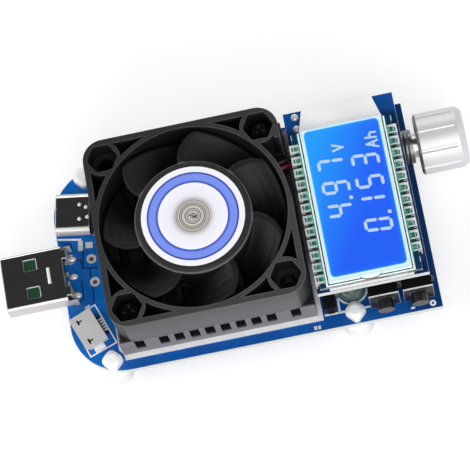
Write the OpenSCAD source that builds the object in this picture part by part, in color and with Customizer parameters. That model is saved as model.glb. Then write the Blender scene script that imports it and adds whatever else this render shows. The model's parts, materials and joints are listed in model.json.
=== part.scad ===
// DC electronic load: a USB load tester built on one circuit board. A fan blows down on a
// heatsink, a display board stands on pin headers beside it, and the board carries a USB-A
// plug, two USB receptacles, a control knob and two push buttons. It stands on nylon feet.
// Millimetres. X runs from the USB-A plug to the knob, Y to the back and Z up.
// Places on the board are measured from the axis of the fan and the top face of the board.

/* [Main board] */
// Thickness of the main board
board_t = 1.6; // [1.2:0.1:2.4]
// Length of the board left of the fan, where the ports are
port_zone = 10.2; // [9.8:0.1:14]
// Width of the board in front of the fan
front_margin = 3.1; // [2.9:0.1:6]
// Width of the board behind the fan
back_margin = 1.9; // [1.6:0.1:5]
// Radius of the two corners at the port end
board_corner_r = 11; // [8:0.5:13]
// Spacing of the two spare wire holes
wire_hole_pitch = 5.08; // [4:0.02:6]
// Diameter of a spare wire hole
wire_hole_d = 1; // [0.8:0.05:1.4]
// Distance of the spare wire holes from the port end of the board
wire_hole_inset = 6.5; // [5:0.1:7.5]
// Place of the spare wire holes behind the middle of the USB-A plug
wire_hole_shift = 0.8; // [0:0.1:2]
// Pitch of the header pins and of the display pins
pin_pitch = 2.54; // [2.5:0.01:2.6]
// Play all round a lead in its board hole
lead_play = 0.15; // [0.1:0.01:0.25]

/* [Feet] */
// Height of a foot below the board
foot_h = 6; // [4.5:0.1:12]
// Diameter of a foot column
foot_d = 6.2; // [5:0.1:8]
// Diameter of the neck in the board hole
foot_neck_d = 3; // [2.4:0.1:3.6]
// Play all round the neck
foot_play = 0.1; // [0.05:0.01:0.3]
// Side of the four-cornered snap head
foot_head_w = 3.5; // [3.2:0.1:4]
// Height of the snap head
foot_head_h = 2.4; // [1.8:0.1:3]
// Distance of the feet from the port end of the board
foot_from_end = 7.6; // [7:0.1:9]
// Distance of the feet from the front and back edges
foot_from_edge = 2.3; // [2:0.05:2.6]

/* [Heatsink] */
// Thickness of the thermal pad
pad_t = 0.5; // [0.3:0.05:1.5]
// Width of the pad beyond the heatsink
pad_margin = 1; // [0.2:0.05:1.2]
// Height of the heatsink
heatsink_h = 7.2; // [6:0.1:20]
// Thickness of the heatsink base
heatsink_base = 2.2; // [1.5:0.1:4]
// Width of the gap between two fins
fin_gap = 2; // [1.4:0.05:2.4]
// Pitch of the middle fins
fin_pitch = 3.15; // [2.8:0.05:3.2]
// Number of gaps between the middle fins
fin_gaps = 8; // [4:2:8]

/* [Fan] */
// Width and depth of the fan
fan_size = 40; // [36:0.1:44]
// Thickness of the fan
fan_t = 10.5; // [10:0.1:20]
// Distance of the fan screws from the sides of the fan
screw_inset = 4; // [3.7:0.05:4.4]
// Radius of the fan corners
fan_corner_r = 4.3; // [3:0.1:5]
// Least wall between the throat and the side of the fan
throat_rim = 1; // [0.8:0.05:1.5]
// Wall between the throat and the corner pockets
throat_wall = 0.9; // [0.6:0.05:1.1]
// Outer wall of the fan frame
frame_wall = 1.2; // [0.9:0.05:1.5]
// Thickness of the motor base and its struts
strut_t = 1.2; // [1:0.1:1.5]
// Number of struts
strut_count = 4; // [3:1:6]
// Gap between the blade tips and the throat
tip_gap = 0.7; // [0.4:0.05:1]
// Diameter of the rotor hub
hub_d = 23.8; // [21.5:0.1:26.5]
// Wall of the hub
hub_wall = 1; // [0.8:0.05:1.2]
// Number of blades
blade_count = 7; // [5:1:11]
// Turn of a blade from its foot to its top, in degrees
blade_twist = 42; // [25:1:50]
// Sweep of a blade from the hub to its tip, in degrees
blade_sweep = 14; // [0:1:20]
// Thickness of a blade, measured round the hub
blade_t = 1.3; // [0.9:0.1:1.8]
// Rim of the hub round the label
label_margin = 1.45; // [0.8:0.05:3]
// Diameter of the fan shaft
fan_shaft_d = 2; // [1.5:0.1:2.5]
// Play all round the fan shaft
fan_shaft_play = 0.03; // [0.02:0.005:0.06]
// Diameter of the fan screws
screw_d = 3; // [2.5:0.1:3.2]
// Play all round a fan screw
screw_play = 0.2; // [0.1:0.05:0.3]
// Distance between the flats of a screw pocket in the fan
screw_pocket_flats = 5.6; // [5.4:0.05:5.8]
// Diameter of the rounded corners of a screw pocket
screw_pocket_d = 6.2; // [5.9:0.05:6.4]
// Wall round a screw pocket
pocket_wall = 0.6; // [0.5:0.05:0.9]
// Depth of a screw pocket in the fan
screw_pocket_deep = 5; // [3:0.1:6]
// Diameter of a fan wire
wire_d = 1; // [0.8:0.05:1.1]

/* [Display] */
// Gap between the fan and the display board
display_gap = 1.1; // [0.8:0.05:3]
// Size of the display board along X
display_w = 22.55; // [20.2:0.05:24.8]
// Thickness of the display board
display_t = 1.6; // [1:0.1:2]
// Distance from the front edge of the main board to the display board
display_setback = 3.45; // [3.2:0.05:4]
// Distance from the back edge of the main board to the display board
display_back = 2.5; // [1.5:0.05:4]
// Gap between the display board and the control under it
display_play = 0.15; // [0.1:0.05:2]
// Board left of the display glass
lcd_margin_left = 0.85; // [0.6:0.05:1.5]
// Board right of the display glass
lcd_margin_right = 1.2; // [0.6:0.05:2]
// Width of the pin ledge on each side
lcd_ledge = 2.1; // [1.8:0.05:2.4]
// Thickness of one sheet of glass
glass_t = 1; // [0.7:0.05:1.1]
// Thickness of the backlight
backlight_t = 1.6; // [1.4:0.05:3]
// Length of the backlight beyond the glass, where its lamp is
lamp_l = 5.4; // [4:0.1:6]
// Board left behind the lamp
lamp_margin = 0.35; // [0.1:0.05:2]
// Clear ledge behind the first pin of the left row
left_pins_from_back = 3.3; // [2:0.1:6]
// Clear ledge behind the first pin of the right row
right_pins_from_back = 3.1; // [2:0.1:6]
// Clear ledge in front of the left row of pins
left_pins_from_front = 1.8; // [1:0.1:6]
// Clear ledge in front of the right row of pins
right_pins_from_front = 4.5; // [1:0.1:6]
// Width of a display pin where it grips the glass
clip_w = 1.75; // [1.4:0.05:1.9]

/* [USB ports] */
// Reach of the USB-A plug beyond the board
plug_reach = 11.7; // [11:0.1:14]
// Width of the USB-A plug
plug_w = 12; // [11.9:0.05:12.1]
// Height of the USB-A plug
plug_h = 4.5; // [4.4:0.05:4.6]
// Sheet thickness of the connector shells
shell_t = 0.3; // [0.2:0.02:0.35]
// Place of the USB-A plug in front of the middle of the board
plug_offset = 0.7; // [0:0.05:1]
// Width of the USB-C shell
usb_c_w = 8.94; // [8.7:0.02:9.1]
// Height of the USB-C shell
usb_c_h = 3.2; // [3.1:0.02:3.3]
// Length of the USB-C shell
usb_c_l = 7.1; // [6.5:0.1:7.3]
// Turn of the USB-C receptacle, in degrees
usb_c_turn = -9; // [-11:0.5:-7]
// Distance of the USB-C mouth from the port end of the board
usb_c_inset = 1; // [0.8:0.05:1.4]
// Distance of the USB-C mouth from the back of the board
usb_c_from_back = 9.6; // [9.4:0.05:9.9]
// Width of the micro USB shell
micro_w = 7.4; // [7.3:0.05:7.7]
// Height of the micro USB shell
micro_h = 2.5; // [2.4:0.05:2.8]
// Length of the micro USB shell
micro_l = 4.3; // [4.1:0.05:4.6]
// Turn of the micro USB receptacle, in degrees
micro_turn = 21.5; // [20:0.5:24]
// Distance of the micro USB mouth from the port end of the board
micro_inset = 2.15; // [2:0.05:2.4]
// Distance of the micro USB mouth from the front of the board
micro_from_front = 8.8; // [8.6:0.05:9]

/* [Control knob] */
// Height of the control shaft above the board
pot_axis_z = 6.5; // [6.4:0.05:8]
// Width of the control body
pot_w = 9.5; // [9:0.1:10]
// Length of the control body
pot_l = 6.8; // [5:0.1:7]
// Distance of the control shaft from the back of the board
pot_from_back = 12.4; // [12:0.1:13]
// Distance of the control body from the knob end of the board
pot_from_end = 2.9; // [2.5:0.05:4]
// Diameter of the control bushing
bushing_d = 6.8; // [6.6:0.05:7.4]
// Diameter of the control shaft
pot_shaft_d = 5; // [4.5:0.1:5.6]
// Play all round the control shaft
pot_shaft_play = 0.03; // [0.02:0.005:0.08]
// Gap between the control bushing and the knob
bushing_gap = 0.9; // [0.4:0.05:1.2]
// Gap between the board and the knob
knob_gap = 1.5; // [0.8:0.05:4]
// Diameter of the knob
knob_d = 12.5; // [11:0.1:12.8]
// Length of the knob
knob_l = 9.8; // [8:0.1:16]
// Number of flutes round the knob
flute_count = 10; // [8:1:16]
// Radius of a flute
flute_r = 0.5; // [0.3:0.05:0.9]

/* [Push buttons] */
// Width of a switch
switch_w = 5.4; // [5.2:0.05:5.6]
// Thickness of a switch, front to back
switch_t = 3.5; // [3.3:0.1:4.5]
// Height of a switch
switch_h = 7; // [6.6:0.1:8]
// Height of the button above the board
button_z = 3.9; // [3.4:0.1:4.2]
// Diameter of a button
button_d = 3.4; // [3:0.1:3.6]
// Length of a button in front of its bracket
button_reach = 2.2; // [1.5:0.1:2.4]
// Travel of a button
button_travel = 0.25; // [0.15:0.05:0.4]
// Play all round a button
button_play = 0.06; // [0.04:0.01:0.1]
// Spacing of the two switches
switch_pitch = 6.95; // [6.85:0.01:7.2]
// Sheet thickness of a switch bracket
bracket_t = 0.3; // [0.2:0.02:0.35]
// Distance from the front of the board to the brackets
bracket_setback = 2.5; // [2.4:0.05:2.8]
// Distance from the right bracket to the knob end of the board
switch_margin = 1.25; // [0.8:0.05:4]

/* [Indicator] */
// Diameter of the indicator lens
lens_d = 5; // [4.5:0.1:5.5]
// Height of the indicator lens
lens_h = 8.6; // [7:0.1:10]
// Gap between the indicator and the left bracket
lens_gap = 0.4; // [0.2:0.05:3]
// Distance from the front of the display board to the middle of the indicator
lens_setback = 4.1; // [3.9:0.05:6]
// Room for the diode between the thermal pad and the indicator
diode_zone = 3.8; // [3.6:0.05:8]

/* [Hidden] */
$fn = 48;

// Cuts run this far past the face that they open
cut = 0.5;
// Gap between pieces that stand side by side
near = 0.05;

// Fan and heatsink
fan_half = fan_size / 2;
fan_hole_pitch = fan_size - 2 * screw_inset;
throat_d = fan_size - 2 * throat_rim;
pad_edge = fan_half + pad_margin;

// Front row of the board: diode, indicator, two switches
flange_rim = 0.3;
flange_d = lens_d + 2 * flange_rim;
flange_t = 1;
led_x = pad_edge + diode_zone + flange_d / 2;
bracket_half = switch_w / 2 + near + bracket_t;
switch_x0 = led_x + flange_d / 2 + lens_gap + bracket_half;
switch_xs = [switch_x0, switch_x0 + switch_pitch];

// Edges of the boards
board_x0 = -fan_half - port_zone;
board_x1 = switch_xs[1] + bracket_half + switch_margin;
board_y0 = -fan_half - front_margin;
board_y1 = fan_half + back_margin;
display_x0 = fan_half + display_gap;
display_x1 = display_x0 + display_w;
display_y0 = board_y0 + display_setback;
display_y1 = board_y1 - display_back;

// Levels above the top of the main board
heatsink_z = pad_t;
fan_z = heatsink_z + heatsink_h;
display_z = pot_axis_z + pot_w / 2 + display_play;
display_top = display_z + display_t;
rear_glass_z = display_top + backlight_t;
front_glass_z = rear_glass_z + glass_t;

// Overall box of the part, whose bottom centre is the origin
knob_x = board_x1 + knob_gap;
whole_x0 = board_x0 - plug_reach;
whole_x1 = knob_x + knob_l;
origin = [(whole_x0 + whole_x1) / 2, (board_y0 + board_y1) / 2, -board_t - foot_h];

// Feet
foot_x0 = board_x0 + foot_from_end;
foot_places = [
    for (x = [foot_x0, led_x], y = [board_y0 + foot_from_edge, board_y1 - foot_from_edge]) [x, y]];
foot_edge = 0.4;
foot_head_r = 0.9;
foot_dome_rise = 0.2;
foot_dome_r = foot_head_h + foot_dome_rise;
foot_room_d = foot_head_w * sqrt(2) + 2 * foot_play;

// Fan screws
fan_corners = [for (x = [-1, 1], y = [-1, 1]) [x, y] * fan_hole_pitch / 2];
screw_places = [[-1, -1] * fan_hole_pitch / 2, [1, 1] * fan_hole_pitch / 2];
screw_hole_d = screw_d + 2 * screw_play;
screw_head_play = 0.25;
screw_head_d = screw_pocket_flats - 2 * screw_head_play;
screw_head_h = 2;
screw_head_bevel = 0.8;
screw_tail = 0.6;
screw_slot_w = 0.7;
screw_slot_l = 0.55 * screw_head_d;
screw_seat_z = fan_z + fan_t - screw_pocket_deep;
nut_h = 2.4;
nut_across = 5.5;
nut_z = -board_t - nut_h;

// Levels inside the fan, above its underside
hub_recess = 0.2;
hub_lift = 1.4;
hub_top = fan_t - hub_recess;
hub_z = strut_t + hub_lift;
hub_edge = 0.6;
cup_z = hub_top - hub_wall;
boss_d = fan_shaft_d + 2;
boss_l = 0.9;
strut_w = 2;
first_strut = 80;
tube_d = 6.4;
bearing_d = 4.4;
fan_pcb_t = 0.6;
fan_pcb_inset = 2.4;
fan_pcb_d = hub_d - 2 * fan_pcb_inset;
yoke_t = 0.6;
yoke_d = hub_d - 2 * hub_wall;
magnet_t = 1.3;
magnet_d = yoke_d - 2 * yoke_t;
magnet_lift = 0.5;
magnet_z = hub_z + magnet_lift;
air_gap = 0.4;
stator_lift = 1;
stator_d = magnet_d - 2 * magnet_t - 2 * air_gap;
stator_z = strut_t + fan_pcb_t + stator_lift;
stator_h = cup_z - stator_z - stator_lift;
stator_arms = 4;
stator_ring = 0.8;
arm_w = 2.4;
shoe_t = 1;
coil_t = 0.7;
tube_top = stator_z + stator_h;
label_d = hub_d - 2 * label_margin;
label_t = 0.1;
blade_r = throat_d / 2 - tip_gap;
blade_lift = 0.2;
blade_drop = 0.4;
blade_steps = 4;

// Headers under the display board: place of the first pin and number of pins
header_w = 2.5;
header_pin_w = 0.64;
header_inset = 2.3;
header_from_back = 1.2;
right_header_inset = 2.6;
right_header_setback = 17.5;
header_rows = [
    [display_x0 + header_inset, display_y1 - header_from_back, 3],
    [display_x1 - right_header_inset, display_y0 + right_header_setback, 4]];
header_tail = 1.2;
header_top = 0.5;

// Display glass
lcd_front = 0.1;
lcd_x0 = display_x0 + lcd_margin_left;
lcd_x1 = display_x1 - lcd_margin_right;
lcd_y0 = display_y0 + lcd_front;
lcd_y1 = display_y1 - lamp_margin - lamp_l;
lcd_l = lcd_y1 - lcd_y0;
upper_setback = 0.8;
film_margin = 0.3;
film_setback = 0.4;
film_t = 0.2;
guide_lap = 0.3;
lamp_rise = 0.9;
lamp_taper = 1.4;
clip_t = 0.25;
clip_grip = 1.2;
clip_reach = 0.45;
clip_prong = 0.4;

// Fan lead, from the motor base through the frame to the plug
notch_shift = 5.6;
notch_y = fan_hole_pitch / 2 - notch_shift;
notch_w = 4.2;
notch_deep = 5.2;
notch_h = 2;
lead_opening = (fan_hole_pitch - screw_pocket_d) / 2;
lead_r = hub_d / 2 + 0.4;
lead_z = fan_z + strut_t / 2 + 0.3;
socket_w = 4.4;
socket_d = 6;
socket_h = 4.6;
socket_wall = 0.6;
socket_floor = 1;
socket_gap = 1.85;
plug_body_w = 2.6;
plug_play = 0.1;
plug_pitch = 2;
fan_plug_inset = 4.1;
plug_x = display_x0 + fan_plug_inset;
plug_y = header_rows[0].y - (header_rows[0][2] - 0.5) * pin_pitch - socket_gap - socket_d / 2;
fan_plug_top = 8;
red_route = [
    [lead_r * cos(24), lead_r * sin(24), lead_z], [fan_half - 5.6, notch_y - 2.9, lead_z],
    [fan_half - 2.8, notch_y - 1.1, lead_z], [fan_half - 0.6, notch_y - 0.5, lead_z],
    [fan_half + 0.8, notch_y - 0.5, lead_z + 0.3], [display_x0 + 1.5, notch_y - 1, lead_z + 0.8],
    [plug_x - 1, plug_y + 0.3, lead_z + 0.9], [plug_x - 0.2, plug_y - 0.7, lead_z + 0.5],
    [plug_x, plug_y - plug_pitch / 2, lead_z - 0.1], [plug_x, plug_y - plug_pitch / 2, fan_plug_top]];
black_route = [
    [lead_r * cos(31), lead_r * sin(31), lead_z], [fan_half - 6.2, notch_y - 1.5, lead_z],
    [fan_half - 3.2, notch_y + 0.2, lead_z], [fan_half - 0.8, notch_y + 0.8, lead_z],
    [fan_half + 0.8, notch_y + 0.9, lead_z + 0.3], [display_x0 + 1.5, notch_y + 0.6, lead_z + 0.8],
    [plug_x - 1, plug_y + 2.3, lead_z + 0.9], [plug_x - 0.2, plug_y + 1.3, lead_z + 0.5],
    [plug_x, plug_y + plug_pitch / 2, lead_z - 0.1], [plug_x, plug_y + plug_pitch / 2, fan_plug_top]];

// USB-A plug
plug_y_mid = (board_y0 + board_y1) / 2 - plug_offset;
plug_x0 = board_x0 - plug_reach;
plug_tail = 1;
plug_l = plug_reach + plug_tail;
plug_r = 0.8;
window_w = 2.3;
window_l = 2.6;
window_x = 6;
window_y = 3;
rib_x = 9.6;
rib_w = 1;
rib_l = 3.4;
rib_rise = 0.12;
leg_l = 1.8;
leg_w = 1.2;
leg_drop = 0.4;
plug_tab_y = 4;
plug_tab_w = 2;
plug_tab_l = 1;
plug_tab_foot = 0.8;
insulator_front = 0.6;
insulator_back = 2.6;
insulator_t = 1.9;
contact_places = [-3.5, -1, 1, 3.5];
contact_front = 1.4;
contact_w = 1;
contact_t = 0.2;
tail_w = 0.8;
tail_l = 0.4;
tail_t = 0.3;

// USB-C receptacle
usb_c_mouth = [board_x0 + usb_c_inset, board_y1 - usb_c_from_back];
thin_shell_t = 0.85 * shell_t;
usb_c_back = 0.4;
usb_c_back_inset = 0.5;
usb_c_r = usb_c_h / 2 - near;
usb_c_seal = 1.5;
usb_c_tongue_front = 0.9;
usb_c_tongue_w = 6.7;
usb_c_tongue_t = 0.7;
usb_c_pins = 12;
usb_c_pin_pitch = 0.5;
usb_c_pin_w = 0.26;
usb_c_pin_t = 0.07;
usb_c_pin_front = 1.1;
usb_c_tail_l = 0.5;
usb_c_tail_t = 0.2;

// Micro USB receptacle
micro_mouth = [board_x0 + micro_inset, board_y0 + micro_from_front];
micro_taper = 1.1;
micro_flare = 0.65;
micro_cut_x = 0.75;
micro_cut_y = 2.35;
micro_cut_w = 1.3;
micro_cut_l = 1;
micro_cut_t = 0.4;
micro_tab_x = 0.8;
micro_tab_l = 2.2;
micro_tab_w = 0.7;
micro_tongue_front = 0.6;
micro_tongue_w = 3.7;
micro_tongue_t = 0.6;
micro_tongue_z = 1.35;
micro_block_w = 4.4;
micro_block_l = 1.2;
micro_block_back = 0.25;
micro_base_l = 0.6;
micro_base_t = 0.1;
micro_pins = 5;
micro_pin_pitch = 0.65;
micro_pin_w = 0.36;
micro_pin_t = 0.1;
micro_pin_front = 0.8;
micro_tail_l = 0.9;
micro_tail_t = 0.25;

// Control
pot_y = board_y1 - pot_from_back;
pot_x1 = board_x1 - pot_from_end;
pot_x0 = pot_x1 - pot_l;
pot_relief_l = 2.4;
pot_relief_h = 1;
pot_relief_wall = 0.3;
pot_lead_inset = 1.2;
pot_lead_pitch = 2.5;
bushing_x1 = knob_x - bushing_gap;
bushing_flange_inset = 0.3;
bushing_flange_d = pot_w - 2 * bushing_flange_inset;
bushing_flange_t = 0.8;
knob_back_play = 0.9;
knob_back_d = bushing_d + 2 * knob_back_play;
knob_back_deep = 1.4;
knob_face_t = 2.2;
knob_bore_deep = knob_l - knob_face_t;
knob_rim = 1.3;
knob_bevel = 0.45;
flute_end = 0.6;
flute_lift = 0.45 * flute_r;

// Switches
bracket_y = board_y0 + bracket_setback;
switch_y = bracket_y + bracket_t;
collar_d = button_d + 1;
collar_t = 0.6;
well_floor = 0.9;
well_deep = switch_t - well_floor;
dome_t = 0.15;
button_rest_gap = 0.15;
button_tail = well_deep - dome_t - button_travel - button_rest_gap;
arm_l = switch_t + 0.8;
arm_h = 3;
arm_leg_w = 0.9;
arm_hole_d = 1.3;

// Indicator and its leads, and the leads of the control
led_place = [led_x, display_y0 + lens_setback];
lead_w = 0.5;
lead_tail = 1.2;
lead_hole_d = lead_w * sqrt(2) + 2 * lead_play;
header_hole_d = header_pin_w * sqrt(2) + 2 * lead_play;

// Small parts on the board
part_lift = 0.1;
diode_w = 2.6;
diode_l = 4.2;
diode_h = 2.1;
diode_lead_w = 1.4;
diode_lead_l = 5.2;
diode_lead_t = 0.5;
diode_inset = 1.85;
diode_setback = 2.2;
diode_place = [pad_edge + diode_inset, display_y0 + diode_setback];
chip_w = 4;
chip_l = 6.5;
chip_h = 1.5;
chip_lift = 0.2;
chip_leads = 10;
chip_lead_pitch = 0.65;
chip_lead_w = 0.25;
chip_lead_l = 1.4;
chip_lead_t = 0.4;
chip_inset = 11;
chip_setback = 22;
chip_place = [display_x0 + chip_inset, display_y0 + chip_setback];
resistor_w = 0.8;
resistor_l = 1.6;
resistor_h = 0.45;
resistor_gap = 0.35;
resistor_pitch = 5.2;
transistor_w = 6.6;
transistor_l = 6.1;
transistor_h = 2.3;
transistor_lead_x = 2.28;
transistor_lead_w = 0.8;
transistor_lead_l = 2.4;
transistor_lead_t = 0.5;
tab_w = 5.4;
tab_l = 1.9;
tab_t = 0.6;
shunt_w = 3.2;
shunt_l = 6.3;
shunt_h = 0.7;
shunt_place = [-8, -3];

// Puts a piece that is drawn on the board into the frame of the whole part
module on_part() translate(-origin) children();

// Flat square with round corners, about its middle
module round_square(w, d, r) {
    square([w - 2 * r, d], center = true);
    square([w, d - 2 * r], center = true);
    for (x = [-1, 1], y = [-1, 1])
        translate([x * (w / 2 - r), y * (d / 2 - r)]) circle(r);
}

// Box with a corner at the first point and the opposite corner at the second
module span(a, b) translate(a) cube(b - a);

// Upright box that stands on z, about its middle in X and Y
module block(w, d, h, z = 0) translate([-w / 2, -d / 2, z]) cube([w, d, h]);

// A cylinder along Y that starts at y and runs to the back
module rod(d, y, l) translate([0, y, 0]) rotate([-90, 0, 0]) cylinder(d = d, h = l);

// Holes of one diameter at several places, from z upwards
module holes(places, d, z, h)
    for (p = places) translate([p.x, p.y, z]) cylinder(d = d, h = h);

// Points of a smooth curve through the given points
function on_curve(p, i, t) =
    let (a = p[max(i - 1, 0)], b = p[i], c = p[i + 1], d = p[min(i + 2, len(p) - 1)])
    0.5 * (2 * b + (c - a) * t + (2 * a - 5 * b + 4 * c - d) * t * t
        + (3 * b - a - 3 * c + d) * t * t * t);
function smooth(p, steps) = concat(
    [for (i = [0 : len(p) - 2], k = [0 : steps - 1]) on_curve(p, i, k / steps)],
    [p[len(p) - 1]]);
function unit(v) = v / norm(v);

// Round cord along a route, as one closed skin
module cord(route, d, sides = 8, steps = 3) {
    path = smooth(route, steps);
    last = len(path) - 1;
    side = [0.1, 1, 0.2];
    ring = function (i)
        let (
            along = unit(path[min(i + 1, last)] - path[max(i - 1, 0)]),
            across = unit(cross(along, side)),
            up = cross(across, along))
        [for (k = [0 : sides - 1])
            path[i] + d / 2 * (across * cos(k * 360 / sides) + up * sin(k * 360 / sides))];
    points = [for (i = [0 : last]) each ring(i)];
    skin = [
        for (i = [0 : last - 1], k = [0 : sides - 1])
            let (next = (k + 1) % sides)
            [i * sides + k, (i + 1) * sides + k, (i + 1) * sides + next, i * sides + next]];
    start = [for (k = [0 : sides - 1]) k];
    end = [for (k = [sides - 1 : -1 : 0]) last * sides + k];
    polyhedron(points, concat(skin, [start, end]));
}

// Header pins as [x, y] places
header_places = [
    for (row = header_rows, i = [0 : row[2] - 1]) [row.x, row.y - i * pin_pitch]];

// Places of the bracket legs and of the indicator leads
bracket_legs = [
    for (x = switch_xs, s = [-1, 1]) [x + s * (switch_w / 2 + near + bracket_t / 2),
        bracket_y + arm_l - arm_leg_w / 2]];
led_leads_at = [for (s = [-1, 1]) led_place + [s * pin_pitch / 2, 0]];
pot_leads_at = [for (s = [-1, 0, 1]) [pot_x0 + pot_lead_inset, pot_y + s * pot_lead_pitch]];
wire_holes = [
    for (s = [-1, 1]) [board_x0 + wire_hole_inset, plug_y_mid + wire_hole_shift + s * wire_hole_pitch / 2]];

module board_outline() {
    r = board_corner_r;
    translate([board_x0 + r, board_y0]) square([board_x1 - board_x0 - r, board_y1 - board_y0]);
    translate([board_x0, board_y0 + r]) square([2 * r, board_y1 - board_y0 - 2 * r]);
    for (y = [board_y0 + r, board_y1 - r]) translate([board_x0 + r, y]) circle(r);
}

module main_board() color("royalblue") on_part() difference() {
    translate([0, 0, -board_t]) linear_extrude(board_t) board_outline();
    holes(foot_places, foot_neck_d + 2 * foot_play, -board_t - cut, board_t + 2 * cut);
    holes(screw_places, screw_hole_d, -board_t - cut, board_t + 2 * cut);
    holes(wire_holes, wire_hole_d, -board_t - cut, board_t + 2 * cut);
    holes(header_places, header_hole_d, -board_t - cut, board_t + 2 * cut);
    holes(bracket_legs, arm_hole_d, -board_t - cut, board_t + 2 * cut);
    holes(concat(led_leads_at, pot_leads_at), lead_hole_d, -board_t - cut, board_t + 2 * cut);
}

module foot() {
    base_z = -board_t - foot_h;
    r = foot_d / 2;
    rotate_extrude() polygon([
        [0, base_z], [r - foot_edge, base_z], [r, base_z + foot_edge],
        [r, -board_t - foot_edge], [r - foot_edge, -board_t], [foot_neck_d / 2, -board_t],
        [foot_neck_d / 2, cut / 2], [0, cut / 2]]);
    intersection() {
        rotate(45) linear_extrude(foot_head_h) round_square(foot_head_w, foot_head_w, foot_head_r);
        sphere(r = foot_dome_r);
    }
}

module board_feet() color("whitesmoke") on_part()
    for (p = foot_places) translate([p.x, p.y, 0]) foot();

module thermal_pad() color("white") on_part() difference() {
    block(2 * pad_edge, 2 * pad_edge, pad_t);
    holes(screw_places, screw_hole_d, -cut, pad_t + 2 * cut);
    holes(foot_places, foot_room_d, -cut, pad_t + 2 * cut);
}

// Extruded fins along Y, with a wider pair at each side where the screws pass
module heatsink() color("dimgray") on_part() translate([0, 0, heatsink_z]) difference() {
    block(fan_size, fan_size, heatsink_h);
    gap_xs = concat(
        [for (i = [0 : fin_gaps - 1]) (i - (fin_gaps - 1) / 2) * fin_pitch],
        [-fan_hole_pitch / 2, fan_hole_pitch / 2]);
    for (x = gap_xs)
        translate([x, 0, 0]) block(fin_gap, fan_size + 2 * cut, heatsink_h, heatsink_base);
    holes(fan_corners, screw_hole_d, -cut, heatsink_h + 2 * cut);
}

// Hollows beside each corner of the frame, between the throat and the outer wall. The one beside
// the lead is open to the side.
module frame_hollows() difference() {
    union() {
        round_square(fan_size - 2 * frame_wall, fan_size - 2 * frame_wall, fan_corner_r - frame_wall);
        translate([fan_half - frame_wall - cut, 0]) square([frame_wall + 2 * cut, lead_opening]);
    }
    circle(throat_d / 2 + throat_wall);
    for (p = fan_corners) translate(p) circle(screw_pocket_d / 2 + pocket_wall);
}

// Pocket for a screw head or a nut: six flats with rounded corners
module screw_pocket() linear_extrude(screw_pocket_deep + cut) intersection() {
    circle(d = screw_pocket_flats / cos(30), $fn = 6);
    circle(d = screw_pocket_d);
}

module fan_frame() color("#222224") on_part() translate([0, 0, fan_z]) {
    difference() {
        linear_extrude(fan_t) round_square(fan_size, fan_size, fan_corner_r);
        translate([0, 0, -cut]) cylinder(d = throat_d, h = fan_t + 2 * cut, $fn = 96);
        translate([0, 0, strut_t]) linear_extrude(fan_t) frame_hollows();
        for (p = fan_corners) translate([p.x, p.y, fan_t - screw_pocket_deep]) screw_pocket();
        holes(fan_corners, screw_hole_d, -cut, fan_t);
        span([fan_half - notch_deep, notch_y - notch_w / 2, -cut],
            [fan_half + cut, notch_y + notch_w / 2, notch_h]);
    }
    difference() {
        union() {
            cylinder(d = hub_d, h = strut_t);
            cylinder(d = tube_d, h = tube_top);
            intersection() {
                for (i = [0 : strut_count - 1])
                    rotate(i * 360 / strut_count + first_strut) translate([0, -strut_w / 2, 0])
                        cube([fan_size, strut_w, strut_t]);
                cylinder(d = throat_d + throat_wall, h = strut_t);
            }
        }
        translate([0, 0, strut_t]) cylinder(d = bearing_d, h = tube_top);
    }
}

module fan_bearing() color("peru") on_part() translate([0, 0, fan_z + strut_t]) difference() {
    cylinder(d = bearing_d, h = tube_top - strut_t);
    translate([0, 0, -cut]) cylinder(d = fan_shaft_d + 2 * fan_shaft_play, h = fan_t);
}

module fan_circuit_board() color("darkgreen") on_part() translate([0, 0, fan_z + strut_t])
    difference() {
        cylinder(d = fan_pcb_d, h = fan_pcb_t);
        translate([0, 0, -cut]) cylinder(d = tube_d + 2 * near, h = fan_pcb_t + 2 * cut);
    }

module fan_stator() color("slategray") on_part() translate([0, 0, fan_z + stator_z])
    linear_extrude(stator_h) difference() {
        union() {
            circle(d = tube_d + 2 * stator_ring);
            for (i = [1 : stator_arms]) rotate(i * 360 / stator_arms) translate([0, -arm_w / 2])
                square([stator_d / 2 - shoe_t / 2, arm_w]);
            for (i = [1 : stator_arms]) rotate(i * 360 / stator_arms) intersection() {
                difference() {
                    circle(d = stator_d);
                    circle(d = stator_d - 2 * shoe_t);
                }
                translate([0, -stator_d / 4]) square([stator_d, stator_d / 2]);
            }
        }
        circle(d = tube_d);
    }

module stator_coils() color("chocolate") on_part() translate([0, 0, fan_z + stator_z]) {
    coil_half = arm_w / 2 + coil_t;
    coil_x0 = tube_d / 2 + stator_ring + near;
    coil_x1 = sqrt(pow(stator_d / 2 - shoe_t, 2) - pow(coil_half, 2)) - near;
    for (i = [1 : stator_arms]) rotate(i * 360 / stator_arms) difference() {
        span([coil_x0, -coil_half, -coil_t], [coil_x1, coil_half, stator_h + coil_t]);
        span([coil_x0 - cut, -arm_w / 2 - near, -near],
            [coil_x1 + cut, arm_w / 2 + near, stator_h + near]);
    }
}

// One blade: a swept radial rib that leans forward as it rises, for a rotor that turns anticlockwise
module blade() {
    foot_r = hub_d / 2 - hub_wall / 2;
    rib = [for (i = [0 : blade_steps]) foot_r + (blade_r - foot_r) * i / blade_steps];
    sweep = function (r) -blade_sweep * pow((r - foot_r) / (blade_r - foot_r), 2);
    half = function (r) blade_t / 2 / r * 180 / PI;
    near_side = [for (r = rib) r * [cos(sweep(r) - half(r)), sin(sweep(r) - half(r))]];
    far_side = [for (i = [blade_steps : -1 : 0]) rib[i]
        * [cos(sweep(rib[i]) + half(rib[i])), sin(sweep(rib[i]) + half(rib[i]))]];
    blade_h = hub_top - hub_z - blade_lift - blade_drop;
    translate([0, 0, hub_z + blade_lift])
        linear_extrude(blade_h, twist = -blade_twist, slices = 8) polygon(concat(near_side, far_side));
}

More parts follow.
